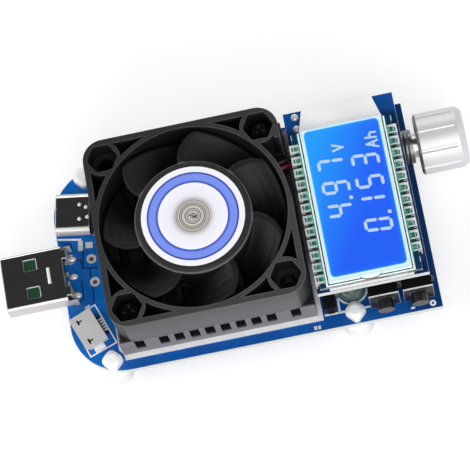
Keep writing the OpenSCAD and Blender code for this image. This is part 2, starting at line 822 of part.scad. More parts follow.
module fan_rotor() color("#1b1b1d") on_part() translate([0, 0, fan_z]) {
    rotate_extrude() polygon([
        [hub_d / 2, hub_z], [hub_d / 2, hub_top - hub_edge], [hub_d / 2 - hub_edge, hub_top],
        [fan_shaft_d / 2, hub_top], [fan_shaft_d / 2, cup_z - boss_l], [boss_d / 2, cup_z - boss_l],
        [boss_d / 2, cup_z], [yoke_d / 2, cup_z], [yoke_d / 2, hub_z]]);
    for (i = [0 : blade_count - 1]) rotate(i * 360 / blade_count) blade();
}

module rotor_yoke() color("silver") on_part() translate([0, 0, fan_z + magnet_z]) difference() {
    cylinder(d = yoke_d, h = cup_z - magnet_z);
    translate([0, 0, -cut]) cylinder(d = magnet_d, h = fan_t);
}

module fan_magnet() color("#3a3634") on_part() translate([0, 0, fan_z + magnet_z]) difference() {
    cylinder(d = magnet_d, h = cup_z - magnet_z);
    translate([0, 0, -cut]) cylinder(d = magnet_d - 2 * magnet_t, h = fan_t);
}

module fan_shaft() color("gainsboro") on_part() translate([0, 0, fan_z + strut_t + near])
    cylinder(d = fan_shaft_d, h = hub_top - strut_t - near);

module hub_label() color("lavender") on_part() translate([0, 0, fan_z + hub_top])
    cylinder(d = label_d, h = label_t, $fn = 96);

module fan_screws() color("#151515") on_part() for (p = screw_places) translate([p.x, p.y, 0]) {
    translate([0, 0, nut_z - screw_tail]) cylinder(d = screw_d, h = screw_seat_z - nut_z + screw_tail);
    translate([0, 0, screw_seat_z]) difference() {
        rotate_extrude() polygon([
            [0, 0], [screw_head_d / 2, 0], [screw_head_d / 2, screw_head_h - screw_head_bevel],
            [screw_head_d / 2 - screw_head_bevel, screw_head_h], [0, screw_head_h]]);
        for (a = [0, 90]) rotate(a) block(screw_slot_l, screw_slot_w, screw_head_h, screw_head_h / 2);
    }
}

module fan_screw_nuts() color("silver") on_part() for (p = screw_places)
    translate([p.x, p.y, nut_z]) difference() {
        cylinder(d = nut_across / cos(30), h = nut_h, $fn = 6);
        translate([0, 0, -cut]) cylinder(d = screw_d, h = nut_h + 2 * cut);
    }

module fan_wire_red() color("firebrick") on_part() cord(red_route, wire_d);
module fan_wire_black() color("#202020") on_part() cord(black_route, wire_d);

module fan_socket() color("ivory") on_part() translate([plug_x, plug_y, 0]) difference() {
    block(socket_w, socket_d, socket_h);
    block(plug_body_w + 2 * plug_play, socket_d - 2 * socket_wall, socket_h, socket_floor);
}

module fan_plug() color("white") on_part() translate([plug_x, plug_y, 0])
    block(plug_body_w, socket_d - 2 * socket_wall - 2 * plug_play, fan_plug_top - socket_floor, socket_floor);

module display_board() color("royalblue") on_part() difference() {
    span([display_x0, display_y0, display_z], [display_x1, display_y1, display_top]);
    holes(header_places, header_hole_d, display_z - cut, display_t + 2 * cut);
}

module display_headers() color("#1e1e1e") on_part() for (row = header_rows) difference() {
    span([row.x - header_w / 2, row.y - (row[2] - 0.5) * pin_pitch, 0],
        [row.x + header_w / 2, row.y + pin_pitch / 2, display_z]);
    for (i = [0 : row[2] - 1]) translate([row.x, row.y - i * pin_pitch, 0])
        block(header_pin_w, header_pin_w, display_z + 2 * cut, -cut);
}

module header_pins() color("gold") on_part() for (p = header_places) translate([p.x, p.y, 0])
    block(header_pin_w, header_pin_w,
        display_top + header_top + board_t + header_tail, -board_t - header_tail);

// Light guide under the glass, with a tapered lamp end at the back
module lcd_backlight() color("white") on_part() {
    x0 = lcd_x0 + lcd_ledge - guide_lap;
    x1 = lcd_x1 - lcd_ledge + guide_lap;
    span([x0, lcd_y0, display_top], [x1, lcd_y1, rear_glass_z]);
    translate([0, 0, display_top]) linear_extrude(backlight_t + lamp_rise) polygon([
        [x0, lcd_y1 + near], [x1, lcd_y1 + near],
        [x1 - lamp_taper, lcd_y1 + lamp_l], [x0 + lamp_taper, lcd_y1 + lamp_l]]);
    span([x0, lcd_y1 - cut, display_top], [x1, lcd_y1 + 2 * cut, rear_glass_z - near]);
}

module lcd_rear_glass() color("lightcyan") on_part()
    span([lcd_x0, lcd_y0, rear_glass_z], [lcd_x1, lcd_y1, front_glass_z]);

module lcd_front_glass() color("dodgerblue") on_part()
    span([lcd_x0 + lcd_ledge, lcd_y0 + upper_setback, front_glass_z],
        [lcd_x1 - lcd_ledge, lcd_y1, front_glass_z + glass_t]);

module lcd_polariser() color("blue") on_part()
    span([lcd_x0 + lcd_ledge + film_margin, lcd_y0 + upper_setback + film_setback, front_glass_z + glass_t],
        [lcd_x1 - lcd_ledge - film_margin, lcd_y1 - film_margin, front_glass_z + glass_t + film_t]);

// Spring clip that grips the ledge of the glass with a forked finger and runs down to the board
module lcd_clip() translate([-clip_t - clip_reach, 0, 0]) difference() {
    tip = clip_t + clip_reach + clip_grip;
    slot = clip_w - 2 * clip_prong;
    union() {
        span([0, -clip_w / 2, display_top - rear_glass_z], [clip_t, clip_w / 2, glass_t + clip_t]);
        for (z = [-clip_t, glass_t]) span([0, -clip_w / 2, z], [tip, clip_w / 2, z + clip_t]);
    }
    span([clip_t + clip_reach, -slot / 2, glass_t - cut], [tip + cut, slot / 2, glass_t + cut]);
}

// Row of clips along one ledge, as many as fit between its clear ends
module clip_row(from_back, from_front) {
    last = floor((lcd_l - from_back - from_front) / pin_pitch);
    for (i = [0 : last]) translate([0, lcd_y1 - from_back - i * pin_pitch, rear_glass_z]) lcd_clip();
}

module lcd_pins() color("silver") on_part() {
    translate([lcd_x0, 0, 0]) clip_row(left_pins_from_back, left_pins_from_front);
    translate([lcd_x1, 0, 0]) mirror([1, 0, 0]) clip_row(right_pins_from_back, right_pins_from_front);
}

// Sheet metal tube along +X, standing on z = 0
module shell_tube(w, h, l, wall, r) rotate([90, 0, 90]) linear_extrude(l) translate([0, h / 2])
    difference() {
        round_square(w, h, r);
        round_square(w - 2 * wall, h - 2 * wall, r - wall);
    }

module at_plug() on_part() translate([plug_x0, plug_y_mid, 0]) children();

module usb_a_shell() color("gainsboro") at_plug() {
    difference() {
        shell_tube(plug_w, plug_h, plug_l, shell_t, plug_r);
        for (y = [-window_y, window_y]) translate([window_x, y, -cut])
            block(window_l, window_w, plug_h + 2 * cut);
    }
    intersection() {
        translate([rib_x, 0, plug_h + rib_rise - rib_w / 2]) rod(rib_w, -rib_l / 2, rib_l);
        span([rib_x - rib_w, -rib_l, plug_h - shell_t], [rib_x + rib_w, rib_l, plug_h + rib_w]);
    }
    for (s = [-1, 1]) translate([plug_l, s * (plug_w / 2 - shell_t / 2), 0])
        span([-cut, -shell_t / 2, plug_r], [leg_l, shell_t / 2, plug_h - plug_r - leg_drop]);
    for (s = [-1, 1]) translate([plug_l + leg_l, s * (plug_w / 2 - shell_t / 2), 0])
        span([-leg_w, -shell_t / 2, 0], [0, shell_t / 2, plug_r + cut]);
    for (y = [-plug_tab_y, plug_tab_y]) translate([plug_l, y - plug_tab_w / 2, 0]) {
        span([-cut, 0, plug_h - shell_t], [plug_tab_l, plug_tab_w, plug_h]);
        span([plug_tab_l - shell_t, 0, 0], [plug_tab_l, plug_tab_w, plug_h]);
        span([plug_tab_l - shell_t, 0, 0], [plug_tab_l + plug_tab_foot, plug_tab_w, shell_t]);
    }
}

module usb_a_insulator() color("seagreen") at_plug() {
    half = plug_w / 2 - shell_t - near - plug_r;
    top = plug_h - shell_t - near;
    span([insulator_front, -half, top - insulator_t], [plug_l, half, top]);
    span([plug_l - insulator_back, -half, shell_t + near], [plug_l, half, top]);
}

module usb_a_contacts() color("gold") at_plug() for (y = contact_places) translate([0, y, 0]) {
    top = plug_h - shell_t - near - insulator_t;
    span([contact_front, -contact_w / 2, top - contact_t], [plug_l - insulator_back, contact_w / 2, top]);
    span([plug_l, -tail_w / 2, 0], [plug_l + tail_l, tail_w / 2, tail_t]);
}

// The USB-C receptacle points its mouth to the port end, turned with the round corner
module at_usb_c() on_part() translate([usb_c_mouth.x, usb_c_mouth.y, 0]) rotate(usb_c_turn) children();

module usb_c_shell() color("silver") at_usb_c()
    shell_tube(usb_c_w, usb_c_h, usb_c_l, thin_shell_t, usb_c_r);

module usb_c_tongue() color("#1c1c1c") at_usb_c() {
    half_w = usb_c_tongue_w / 2;
    half_t = usb_c_tongue_t / 2;
    span([usb_c_tongue_front, -half_w, usb_c_h / 2 - half_t],
        [usb_c_l - usb_c_seal, half_w, usb_c_h / 2 + half_t]);
    inner_w = usb_c_w - 2 * thin_shell_t - 2 * near;
    inner_h = usb_c_h - 2 * thin_shell_t - 2 * near;
    translate([usb_c_l - usb_c_seal, 0, usb_c_h / 2]) rotate([90, 0, 90])
        linear_extrude(usb_c_seal) round_square(inner_w, inner_h, inner_h / 2 - near);
    back_half = usb_c_w / 2 - usb_c_back_inset;
    span([usb_c_l, -back_half, 0], [usb_c_l + usb_c_back, back_half, usb_c_h - usb_c_back_inset]);
}

module usb_c_contacts() color("gold") at_usb_c() for (i = [0 : usb_c_pins - 1])
    translate([0, (i - (usb_c_pins - 1) / 2) * usb_c_pin_pitch, 0]) {
        half = usb_c_pin_w / 2;
        top = usb_c_h / 2 + usb_c_tongue_t / 2;
        back = usb_c_l + usb_c_back;
        span([usb_c_pin_front, -half, top], [usb_c_l - usb_c_seal - near, half, top + usb_c_pin_t]);
        span([back, -half, 0], [back + usb_c_tail_l, half, usb_c_tail_t]);
    }

module at_micro() on_part() translate([micro_mouth.x, micro_mouth.y, 0]) rotate(micro_turn) children();

// Micro USB outline: wide at the top, with its lower corners cut away
module micro_outline(grow) polygon([
    [-micro_w / 2 - grow, micro_h + grow], [micro_w / 2 + grow, micro_h + grow],
    [micro_w / 2 + grow, micro_taper], [micro_w / 2 - micro_taper + grow, -grow],
    [-micro_w / 2 + micro_taper - grow, -grow], [-micro_w / 2 - grow, micro_taper]]);

module micro_usb_shell() color("silver") at_micro() {
    difference() {
        rotate([90, 0, 90]) linear_extrude(micro_l) micro_outline(0);
        translate([-cut, 0, 0]) rotate([90, 0, 90]) linear_extrude(micro_l + 2 * cut)
            micro_outline(-thin_shell_t);
        for (s = [-1, 1]) translate([micro_cut_x, s * micro_cut_y, micro_h / 2]) {
            block(micro_cut_t, micro_cut_w, micro_h);
            translate([micro_cut_t, 0, 0]) block(micro_cut_l, micro_cut_t, micro_h);
        }
    }
    span([-micro_flare, -micro_w / 2, micro_h - thin_shell_t], [0, micro_w / 2, micro_h]);
    for (s = [0, 1]) mirror([0, s, 0]) {
        span([micro_tab_x, micro_w / 2 - thin_shell_t, 0],
            [micro_tab_x + micro_tab_l, micro_w / 2, micro_taper + cut]);
        span([micro_tab_x, micro_w / 2 - thin_shell_t, 0],
            [micro_tab_x + micro_tab_l, micro_w / 2 + micro_tab_w, thin_shell_t]);
    }
}

// Tongue on a block that closes the shell, with a thin base under the tails of the contacts
module micro_usb_tongue() color("#1c1c1c") at_micro() {
    block_x = micro_l - micro_block_l;
    half = micro_block_w / 2;
    back = micro_l + micro_block_back;
    top = micro_h - thin_shell_t - near;
    span([micro_tongue_front, -micro_tongue_w / 2, micro_tongue_z],
        [block_x + cut, micro_tongue_w / 2, micro_tongue_z + micro_tongue_t]);
    span([block_x, -half, thin_shell_t + near], [back, half, top]);
    span([micro_l + near, -half, 0], [back, half, top]);
    span([micro_l + near, -half, 0], [back + micro_base_l, half, micro_base_t]);
}

module micro_usb_contacts() color("silver") at_micro() for (i = [0 : micro_pins - 1])
    translate([0, (i - (micro_pins - 1) / 2) * micro_pin_pitch, 0]) {
        half = micro_pin_w / 2;
        back = micro_l + micro_block_back;
        span([micro_pin_front, -half, micro_tongue_z - micro_pin_t],
            [micro_l - micro_block_l, half, micro_tongue_z]);
        span([back, -half, micro_base_t], [back + micro_tail_l, half, micro_tail_t]);
        span([back + micro_base_l, -half, 0], [back + micro_tail_l, half, micro_tail_t]);
    }

module pot_body() color("#2c5c3c") on_part() difference() {
    relief_half = pot_w / 2 - pot_relief_wall;
    span([pot_x0, pot_y - pot_w / 2, 0], [pot_x1, pot_y + pot_w / 2, pot_axis_z + pot_w / 2]);
    span([pot_x0 - cut, pot_y - relief_half, -cut],
        [pot_x0 + pot_relief_l, pot_y + relief_half, pot_relief_h]);
}

module pot_bushing() color("darkgray") on_part() translate([pot_x1, pot_y, pot_axis_z]) rotate([0, 90, 0])
    difference() {
        reach = bushing_x1 - pot_x1;
        union() {
            cylinder(d = bushing_flange_d, h = bushing_flange_t);
            cylinder(d = bushing_d, h = reach);
        }
        translate([0, 0, -cut]) cylinder(d = pot_shaft_d + 2 * pot_shaft_play, h = reach + 2 * cut);
    }

module pot_terminals() color("silver") on_part() for (p = pot_leads_at) translate([p.x, p.y, 0])
    block(lead_w, lead_w, pot_relief_h + board_t + lead_tail, -board_t - lead_tail);

// The shaft turns in the bushing, and the knob is pressed on its end
module pot_shaft() color("lightgray") on_part() translate([pot_x1 + near, pot_y, pot_axis_z])
    rotate([0, 90, 0]) cylinder(d = pot_shaft_d, h = knob_x + knob_bore_deep - pot_x1 - near);

module knob() color("gainsboro") on_part() translate([knob_x, pot_y, pot_axis_z]) rotate([0, 90, 0])
    difference() {
        rotate_extrude($fn = 96) polygon([
            [pot_shaft_d / 2, knob_back_deep], [knob_back_d / 2, knob_back_deep], [knob_back_d / 2, 0],
            [knob_d / 2 - knob_bevel, 0], [knob_d / 2, knob_bevel], [knob_d / 2, knob_l - knob_rim],
            [knob_d / 2 - knob_bevel, knob_l - knob_bevel], [knob_d / 2 - 2 * knob_bevel, knob_l],
            [0, knob_l], [0, knob_bore_deep], [pot_shaft_d / 2, knob_bore_deep]]);
        for (i = [0 : flute_count - 1]) rotate(i * 360 / flute_count)
            translate([knob_d / 2 + flute_lift, 0, -cut])
                cylinder(r = flute_r, h = knob_l - knob_rim - flute_end + cut);
    }

module at_switch(x) on_part() translate([x, switch_y, button_z]) children();

module switch_bodies() color("#1d1d1f") for (x = switch_xs) at_switch(x) difference() {
    span([-switch_w / 2, 0, -button_z], [switch_w / 2, switch_t, switch_h - button_z]);
    rod(collar_d + 2 * button_play, -cut, well_deep + cut);
}

module switch_brackets() color("silver") for (x = switch_xs) at_switch(x) {
    difference() {
        span([-bracket_half, -bracket_t, -button_z], [bracket_half, 0, switch_h - button_z]);
        rod(button_d + 2 * button_play, -bracket_t - cut, bracket_t + 2 * cut);
    }
    for (s = [-1, 1]) translate([s * (bracket_half - bracket_t / 2), 0, -button_z]) {
        span([-bracket_t / 2, -bracket_t / 2, 0], [bracket_t / 2, arm_l - bracket_t, arm_h]);
        span([-bracket_t / 2, arm_l - arm_leg_w - bracket_t, -board_t - lead_tail],
            [bracket_t / 2, arm_l - bracket_t, cut]);
    }
}

module switch_domes() color("silver") for (x = switch_xs) at_switch(x)
    rod(collar_d, well_deep - dome_t, dome_t);

module button(x) at_switch(x) {
    rod(button_d, -bracket_t - button_reach, bracket_t + button_reach + button_tail);
    rod(collar_d, near, collar_t);
}
module button_left() color("#262322") button(switch_xs[0]);
module button_right() color("#262322") button(switch_xs[1]);

module led_lens() color("palegreen") on_part() translate([led_place.x, led_place.y, 0]) {
    cylinder(d = flange_d, h = flange_t);
    cylinder(d = lens_d, h = lens_h - lens_d / 2);
    translate([0, 0, lens_h - lens_d / 2]) sphere(d = lens_d);
}

module led_leads() color("silver") on_part() for (p = led_leads_at) translate([p.x, p.y, 0])
    block(lead_w, lead_w, board_t + lead_tail, -board_t - lead_tail);

// Controller under the display, with its leads down two sides
module control_chip() color("#1a1a1c") on_part() translate([chip_place.x, chip_place.y, 0]) {
    block(chip_w, chip_l, chip_h, chip_lift);
    for (s = [-1, 1], i = [0 : chip_leads - 1])
        translate([s * (chip_w + chip_lead_w) / 2, (i - (chip_leads - 1) / 2) * chip_lead_pitch, 0])
            block(chip_lead_l, chip_lead_w, chip_lead_t);
}

// The load transistor lies flat under the board, below the heatsink
module below_board() on_part() translate([0, 0, -board_t]) mirror([0, 0, 1]) children();

module power_transistor() color("#1a1a1c") below_board() {
    block(transistor_w, transistor_l, transistor_h, part_lift);
    for (s = [-1, 1])
        translate([s * transistor_lead_x, -(transistor_l + transistor_lead_l) / 2 + part_lift, 0])
            block(transistor_lead_w, transistor_lead_l, transistor_lead_t);
}

module transistor_tab() color("silver") below_board() translate([0, (transistor_l + tab_l) / 2 + near, 0])
    block(tab_w, tab_l, tab_t);

module shunt_resistor() color("#1a1a1c") below_board() translate(shunt_place)
    block(shunt_w, shunt_l, shunt_h);

module clamp_diode() color("#1a1a1c") on_part() translate([diode_place.x, diode_place.y, 0]) {
    block(diode_w, diode_l, diode_h, part_lift);
    block(diode_lead_w, diode_lead_l, diode_lead_t);
}

// Chip resistors beside the fan, one in line with each spare wire hole
module chip_resistors() color("#1a1a1c") on_part() for (s = [-1, 1])
    translate([-pad_edge - resistor_gap - resistor_w / 2,
        plug_y_mid + wire_hole_shift + s * resistor_pitch / 2, 0])
        block(resistor_w, resistor_l, resistor_h);

main_board();
board_feet();
thermal_pad();
heatsink();
fan_frame();
fan_bearing();
fan_stator();
stator_coils();
fan_circuit_board();
fan_screws();
fan_screw_nuts();
fan_wire_red();
fan_wire_black();
fan_plug();
fan_socket();
fan_rotor();
rotor_yoke();
fan_magnet();
fan_shaft();
hub_label();
display_board();
display_headers();
header_pins();
lcd_backlight();
lcd_rear_glass();
lcd_front_glass();
lcd_polariser();
lcd_pins();
usb_a_shell();
usb_a_insulator();
usb_a_contacts();
usb_c_shell();
usb_c_tongue();
usb_c_contacts();
micro_usb_shell();
micro_usb_tongue();
micro_usb_contacts();
pot_body();
pot_bushing();
pot_terminals();
pot_shaft();
knob();
switch_bodies();
switch_brackets();
switch_domes();
button_left();
button_right();
led_lens();
led_leads();
control_chip();
power_transistor();
transistor_tab();
shunt_resistor();
clamp_diode();
chip_resistors();
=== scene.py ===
"""Looks, light and camera of a DC electronic load.

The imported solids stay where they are. This script gives each of them a finish, adds the print,
solder, display figures and other fine detail, and sets up the studio and the camera.
Lengths are written in millimetres. Places on the part are measured, as in the part's source,
from the axis of the fan and the top face of the main board.
"""
import json
import math

import bmesh
import bpy
from mathutils import Matrix, Vector

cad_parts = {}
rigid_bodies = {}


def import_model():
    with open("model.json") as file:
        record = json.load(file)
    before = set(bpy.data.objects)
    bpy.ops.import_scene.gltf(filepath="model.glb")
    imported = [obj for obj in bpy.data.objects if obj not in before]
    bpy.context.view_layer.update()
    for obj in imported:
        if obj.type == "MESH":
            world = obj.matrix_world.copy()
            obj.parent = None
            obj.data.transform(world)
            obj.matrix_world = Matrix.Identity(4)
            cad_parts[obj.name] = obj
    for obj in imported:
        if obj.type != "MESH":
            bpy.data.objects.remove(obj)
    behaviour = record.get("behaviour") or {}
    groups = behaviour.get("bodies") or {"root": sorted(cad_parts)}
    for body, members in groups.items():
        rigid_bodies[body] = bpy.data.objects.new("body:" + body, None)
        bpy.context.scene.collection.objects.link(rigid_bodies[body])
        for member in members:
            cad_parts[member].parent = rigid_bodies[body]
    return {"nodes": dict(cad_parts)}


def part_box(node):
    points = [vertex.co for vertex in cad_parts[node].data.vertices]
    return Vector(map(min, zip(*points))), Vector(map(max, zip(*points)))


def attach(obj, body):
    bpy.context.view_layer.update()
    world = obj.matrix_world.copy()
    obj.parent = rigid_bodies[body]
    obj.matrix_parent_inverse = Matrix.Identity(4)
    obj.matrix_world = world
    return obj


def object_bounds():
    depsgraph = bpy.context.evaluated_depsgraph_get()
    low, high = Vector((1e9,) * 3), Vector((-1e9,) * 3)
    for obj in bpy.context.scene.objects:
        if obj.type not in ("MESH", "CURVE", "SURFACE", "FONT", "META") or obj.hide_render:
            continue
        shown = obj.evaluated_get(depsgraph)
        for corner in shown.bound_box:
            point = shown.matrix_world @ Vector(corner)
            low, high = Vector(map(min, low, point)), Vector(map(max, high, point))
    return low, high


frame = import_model()
cad_low, cad_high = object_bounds()

MM = 0.001
AXIS_X, AXIS_Z = 0, 2
BOARD = "board_assembly"


def middle(node):
    """Middle of a node's box."""
    low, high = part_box(node)
    return (low + high) / 2


FAN_AXIS = middle("hub_label")
BOARD_UNDER, BOARD_TOP = (corner.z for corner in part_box("main_board"))
DISPLAY_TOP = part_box("display_board")[1].z


def spot(x, y, z=0.0):
    """Point given in mm from the fan axis and the top of the main board."""
    return Vector((FAN_AXIS.x + x * MM, FAN_AXIS.y + y * MM, BOARD_TOP + z * MM))


# Camera, as fitted to the photograph

PHOTO_SIZE = 470
CAMERA_FOCUS = 2505.7
CAMERA_PLACE = (37.93, -174.08, 482.77)
CAMERA_AZIMUTH = math.radians(10.2255)
CAMERA_ELEVATION = math.radians(69.7925)
CAMERA_ROLL = math.radians(21.2631)
SENSOR = 36.0


def set_camera():
    """Camera at the photograph's viewing angle, its focal length given in photograph pixels."""
    data = bpy.data.cameras.new("camera")
    data.sensor_width = SENSOR
    data.lens = SENSOR * CAMERA_FOCUS / PHOTO_SIZE
    data.clip_start = 0.01
    camera = bpy.data.objects.new("camera", data)
    level = math.cos(CAMERA_ELEVATION)
    ca, sa = math.cos(CAMERA_AZIMUTH), math.sin(CAMERA_AZIMUTH)
    back = Vector((sa * level, -ca * level, math.sin(CAMERA_ELEVATION)))
    right = Vector((ca, sa, 0))
    up = back.cross(right)
    turned_right = math.cos(CAMERA_ROLL) * right - math.sin(CAMERA_ROLL) * up
    turned_up = math.sin(CAMERA_ROLL) * right + math.cos(CAMERA_ROLL) * up
    turn = Matrix((turned_right, turned_up, back)).transposed()
    camera.matrix_world = Matrix.Translation(spot(*CAMERA_PLACE)) @ turn.to_4x4()
    bpy.context.scene.collection.objects.link(camera)
    bpy.context.scene.camera = camera


# Finishes

class Value:
    """A socket that works in Python expressions. Each operator adds a Math node."""

    def __init__(self, graph, socket):
        self.graph = graph
        self.socket = socket

    def math(self, operation, *terms):
        return self.graph.add("ShaderNodeMath", {"operation": operation}, dict(enumerate(terms)))

    def __add__(self, other):
        return self.math("ADD", self, other)

    def __sub__(self, other):
        return self.math("SUBTRACT", self, other)

    def __rsub__(self, other):
        return self.math("SUBTRACT", other, self)

    def __mul__(self, other):
        return self.math("MULTIPLY", self, other)

    def __truediv__(self, other):
        return self.math("DIVIDE", self, other)

    def __pow__(self, power):
        return self.math("POWER", self, power)

    def __abs__(self):
        return self.math("ABSOLUTE", self)

    __radd__ = __add__
    __rmul__ = __mul__

    def at_least(self, other):
        return self.math("MAXIMUM", self, other)

    def at_most(self, other):
        return self.math("MINIMUM", self, other)

    def above(self, edge):
        return self.math("GREATER_THAN", self, edge)

    def rise(self, low, high):
        """Smooth step from 0 at low to 1 at high."""
        return self.graph.add(
            "ShaderNodeMapRange", {"interpolation_type": "SMOOTHSTEP"}, {0: self, 1: low, 2: high})


class Graph:
    """A node tree, to which one method adds any node."""

    def __init__(self, tree):
        self.tree = tree
        tree.nodes.clear()

    def add(self, kind, settings=None, inputs=None, output=0):
        node = self.tree.nodes.new(kind)
        for name, value in (settings or {}).items():
            if name == "stops":
                self.set_stops(node.color_ramp, value)
            else:
                setattr(node, name, value)
        for key, value in (inputs or {}).items():
            self.feed(node.inputs[key], value)
        return Value(self, node.outputs[output]) if node.outputs else node

    def feed(self, socket, value):
        if isinstance(value, Value):
            self.tree.links.new(value.socket, socket)
        else:
            socket.default_value = value

    @staticmethod
    def set_stops(ramp, stops):
        for place, _ in stops[2:]:
            ramp.elements.new(place)
        for element, (place, colour) in zip(ramp.elements, stops):
            element.position = place
            element.color = (*colour, 1)


TONE_SIZE = 6
EDGE_W = 0.25
FINE_EDGE_W = 0.2
EDGE_TURN = (0.015, 0.15)
# Colour sockets of the Mix node
MIX_FIRST, MIX_SECOND, MIX_RESULT = 6, 7, 2


class Finish(Graph):
    """A material round one Principled shader, with places in mm from a centre."""

    def __init__(self, name, centre=None, **constants):
        self.material = bpy.data.materials.new(name)
        self.material.use_nodes = True
        super().__init__(self.material.node_tree)
        self.shader = self.tree.nodes.new("ShaderNodeBsdfPrincipled")
        self.add("ShaderNodeOutputMaterial", None, {"Surface": Value(self, self.shader.outputs[0])})
        for socket, value in constants.items():
            self.shader.inputs[socket.replace("_", " ")].default_value = value
        origin = centre or FAN_AXIS
        self.place = self.add(
            "ShaderNodeMapping", None,
            {"Vector": self.add("ShaderNodeTexCoord", output="Object"),
             "Location": tuple(-c / MM for c in origin), "Scale": (1 / MM,) * 3})
        self.x, self.y, self.z = (self.part_of(self.place, axis) for axis in range(3))

    def paint(self, **sockets):
        for name, value in sockets.items():
            self.feed(self.shader.inputs[name.replace("_", " ")], value)
        return self

    def noise(self, size, detail=2.0, stretch=(1, 1, 1)):
        """Noise whose patches are about size mm across, stretched along the axes."""
        drawn = self.add(
            "ShaderNodeVectorMath", {"operation": "DIVIDE"}, {0: self.place, 1: stretch})
        return self.add(
            "ShaderNodeTexNoise", None, {"Vector": drawn, "Scale": 1 / size, "Detail": detail})

    def mix(self, factor, first, second):
        """Colour between two colours."""
        first, second = (c if isinstance(c, Value) else (*c, 1) for c in (first, second))
        return self.add(
            "ShaderNodeMix", {"data_type": "RGBA"},
            {0: factor, MIX_FIRST: first, MIX_SECOND: second}, MIX_RESULT)

    def grained(self, grain, dark, pale, slow=0.6):
        """Slow tone, speck of a grain in mm, and the colour that both make between two colours."""
        tone, speck = self.noise(TONE_SIZE, 3), self.noise(grain, 2)
        return tone, speck, self.mix(tone * slow + speck * (1 - slow), dark, pale)

    def bump(self, height, depth, soften=0):
        """Relief of a depth in mm, over a surface whose facets are softened over some mm."""
        relief = {"Height": height, "Distance": depth * MM}
        if soften:
            relief["Normal"] = self.soft_normal(soften)
        return self.paint(Normal=self.add("ShaderNodeBump", None, relief))

    def from_pin(self):
        """Distance along Y from the nearest display pin, in a finish centred on the front glass."""
        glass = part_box("lcd_front_glass")
        left = [box for box in solids("lcd_pins") if box[0].x < glass[0].x]
        pins = sorted((low.y + high.y) / 2 for low, high in left)
        shifted = self.y - (pins[0] - (glass[0].y + glass[1].y) / 2) / MM
        return shifted.math("PINGPONG", shifted, (pins[1] - pins[0]) / 2 / MM)

    def part_of(self, vector, axis):
        """One component of a vector."""
        return self.add("ShaderNodeSeparateXYZ", None, {0: vector}, axis)

    def true_normal(self):
        """Normal of the face itself."""
        return self.add("ShaderNodeNewGeometry", output="True Normal")

    def soft_normal(self, width, samples=8):
        """Normal of the surface with its edges rounded over a width in mm."""
        return self.add("ShaderNodeBevel", {"samples": samples}, {"Radius": width * MM})

    def facing(self, axis):
        """How far the surface faces along an axis, from -1 to 1."""
        return self.part_of(self.true_normal(), axis)

    def edges(self, width=EDGE_W):
        """Mask of the sharp edges, about width mm wide."""
        along = self.add(
            "ShaderNodeVectorMath", {"operation": "DOT_PRODUCT"},
            {0: self.soft_normal(width, samples=4), 1: self.true_normal()}, "Value")
        return (1 - along).rise(*EDGE_TURN)


FINE_GRAIN = 0.15


def shade(colour, factor):
    """A colour made lighter or darker."""
    return tuple(min(1.0, c * factor) for c in colour)


def moulded(name, colour, rough, grain=FINE_GRAIN, relief=0.01, worn=None, **constants):
    """Moulded plastic: a grain, slow changes of tone and gloss, and worn edges in a colour."""
    finish = Finish(name, **constants)
    tone, speck, base = finish.grained(grain, shade(colour, 0.75), shade(colour, 1.25))
    if worn:
        base = finish.mix(finish.edges(), base, worn)
    finish.paint(Base_Color=base, Roughness=rough - 0.08 + 0.16 * tone)
    return finish.bump(speck, relief).material


def plated(name, colour, rough, stretch=(1, 1, 1), size=0.3, relief=0.004, metal=1.0):
    """Plated or bare metal, with fine marks drawn out along the axes by stretch."""
    finish = Finish(name, Metallic=metal)
    tone = finish.noise(4, 3)
    marks = finish.noise(size, 3, stretch)
    base = finish.mix(tone, shade(colour, 0.82), shade(colour, 1.1))
    finish.paint(Base_Color=base, Roughness=rough * 0.7 + marks * rough * 0.6)
    return finish.bump(marks, relief).material


# Blues of the mask: the paler one is painted light by the ports, the darkest two are painted shade
PAINTED_LIGHT_MASK = (0.004, 0.17, 0.6)
BLUE_MASK = (0.003, 0.088, 0.37)
DEEP_MASK = (0.0015, 0.057, 0.27)
SHADE_MASK = (0.001, 0.024, 0.1)
PAINTED_SHADOW_MASK = (0.001, 0.012, 0.05)
BARE_EDGE = (0.82, 0.84, 0.8)
WEAVE_SCALE = 0.6
# Stretches along X of the painted light by the ports and of the painted shade by the knob
PORT_END = (-24, -16)
KNOB_END = (36, 43)


def board_finish(name, knob_shade, shadow_to=None):
    """Solder mask over woven glass, with the pale cut edge of the board.

    The mask has painted light by the ports, painted shade by the knob, and a painted shadow up to a
    place along Y if given.
    """
    finish = Finish(name, Specular_IOR_Level=0.3)
    pour = finish.noise(7, 1).rise(0.45, 0.55)
    weave_x, weave_y = (
        finish.add("ShaderNodeTexWave", {"bands_direction": axis},
                   {"Vector": finish.place, "Scale": WEAVE_SCALE}) for axis in "XY")
    mask = finish.mix(pour * 0.45 + weave_x * weave_y * 0.15, BLUE_MASK, DEEP_MASK)
    # Painted light: a paler mask by the ports
    mask = finish.mix((1 - finish.x.rise(*PORT_END)) * 0.6, mask, PAINTED_LIGHT_MASK)
    # Painted shade: a darker mask by the knob
    mask = finish.mix(finish.x.rise(*KNOB_END) * knob_shade, mask, SHADE_MASK)
    if shadow_to:
        # Painted shadow: a dark mask in front of a place along Y
        front = 1 - finish.y.rise(shadow_to - 1, shadow_to + 1)
        mask = finish.mix(front * 0.8, mask, PAINTED_SHADOW_MASK)
    cut = (1 - abs(finish.facing(AXIS_Z)).above(0.5)).at_least(finish.edges(FINE_EDGE_W) * 0.9)
    fibre = finish.noise(0.25, 2, (4, 4, 1))
    edge = finish.mix(fibre, BARE_EDGE, shade(BARE_EDGE, 0.75))
    finish.paint(Base_Color=finish.mix(cut, mask, edge), Roughness=0.28 + 0.12 * pour + 0.3 * cut)
    return finish.bump(weave_x * weave_y, 0.01).material


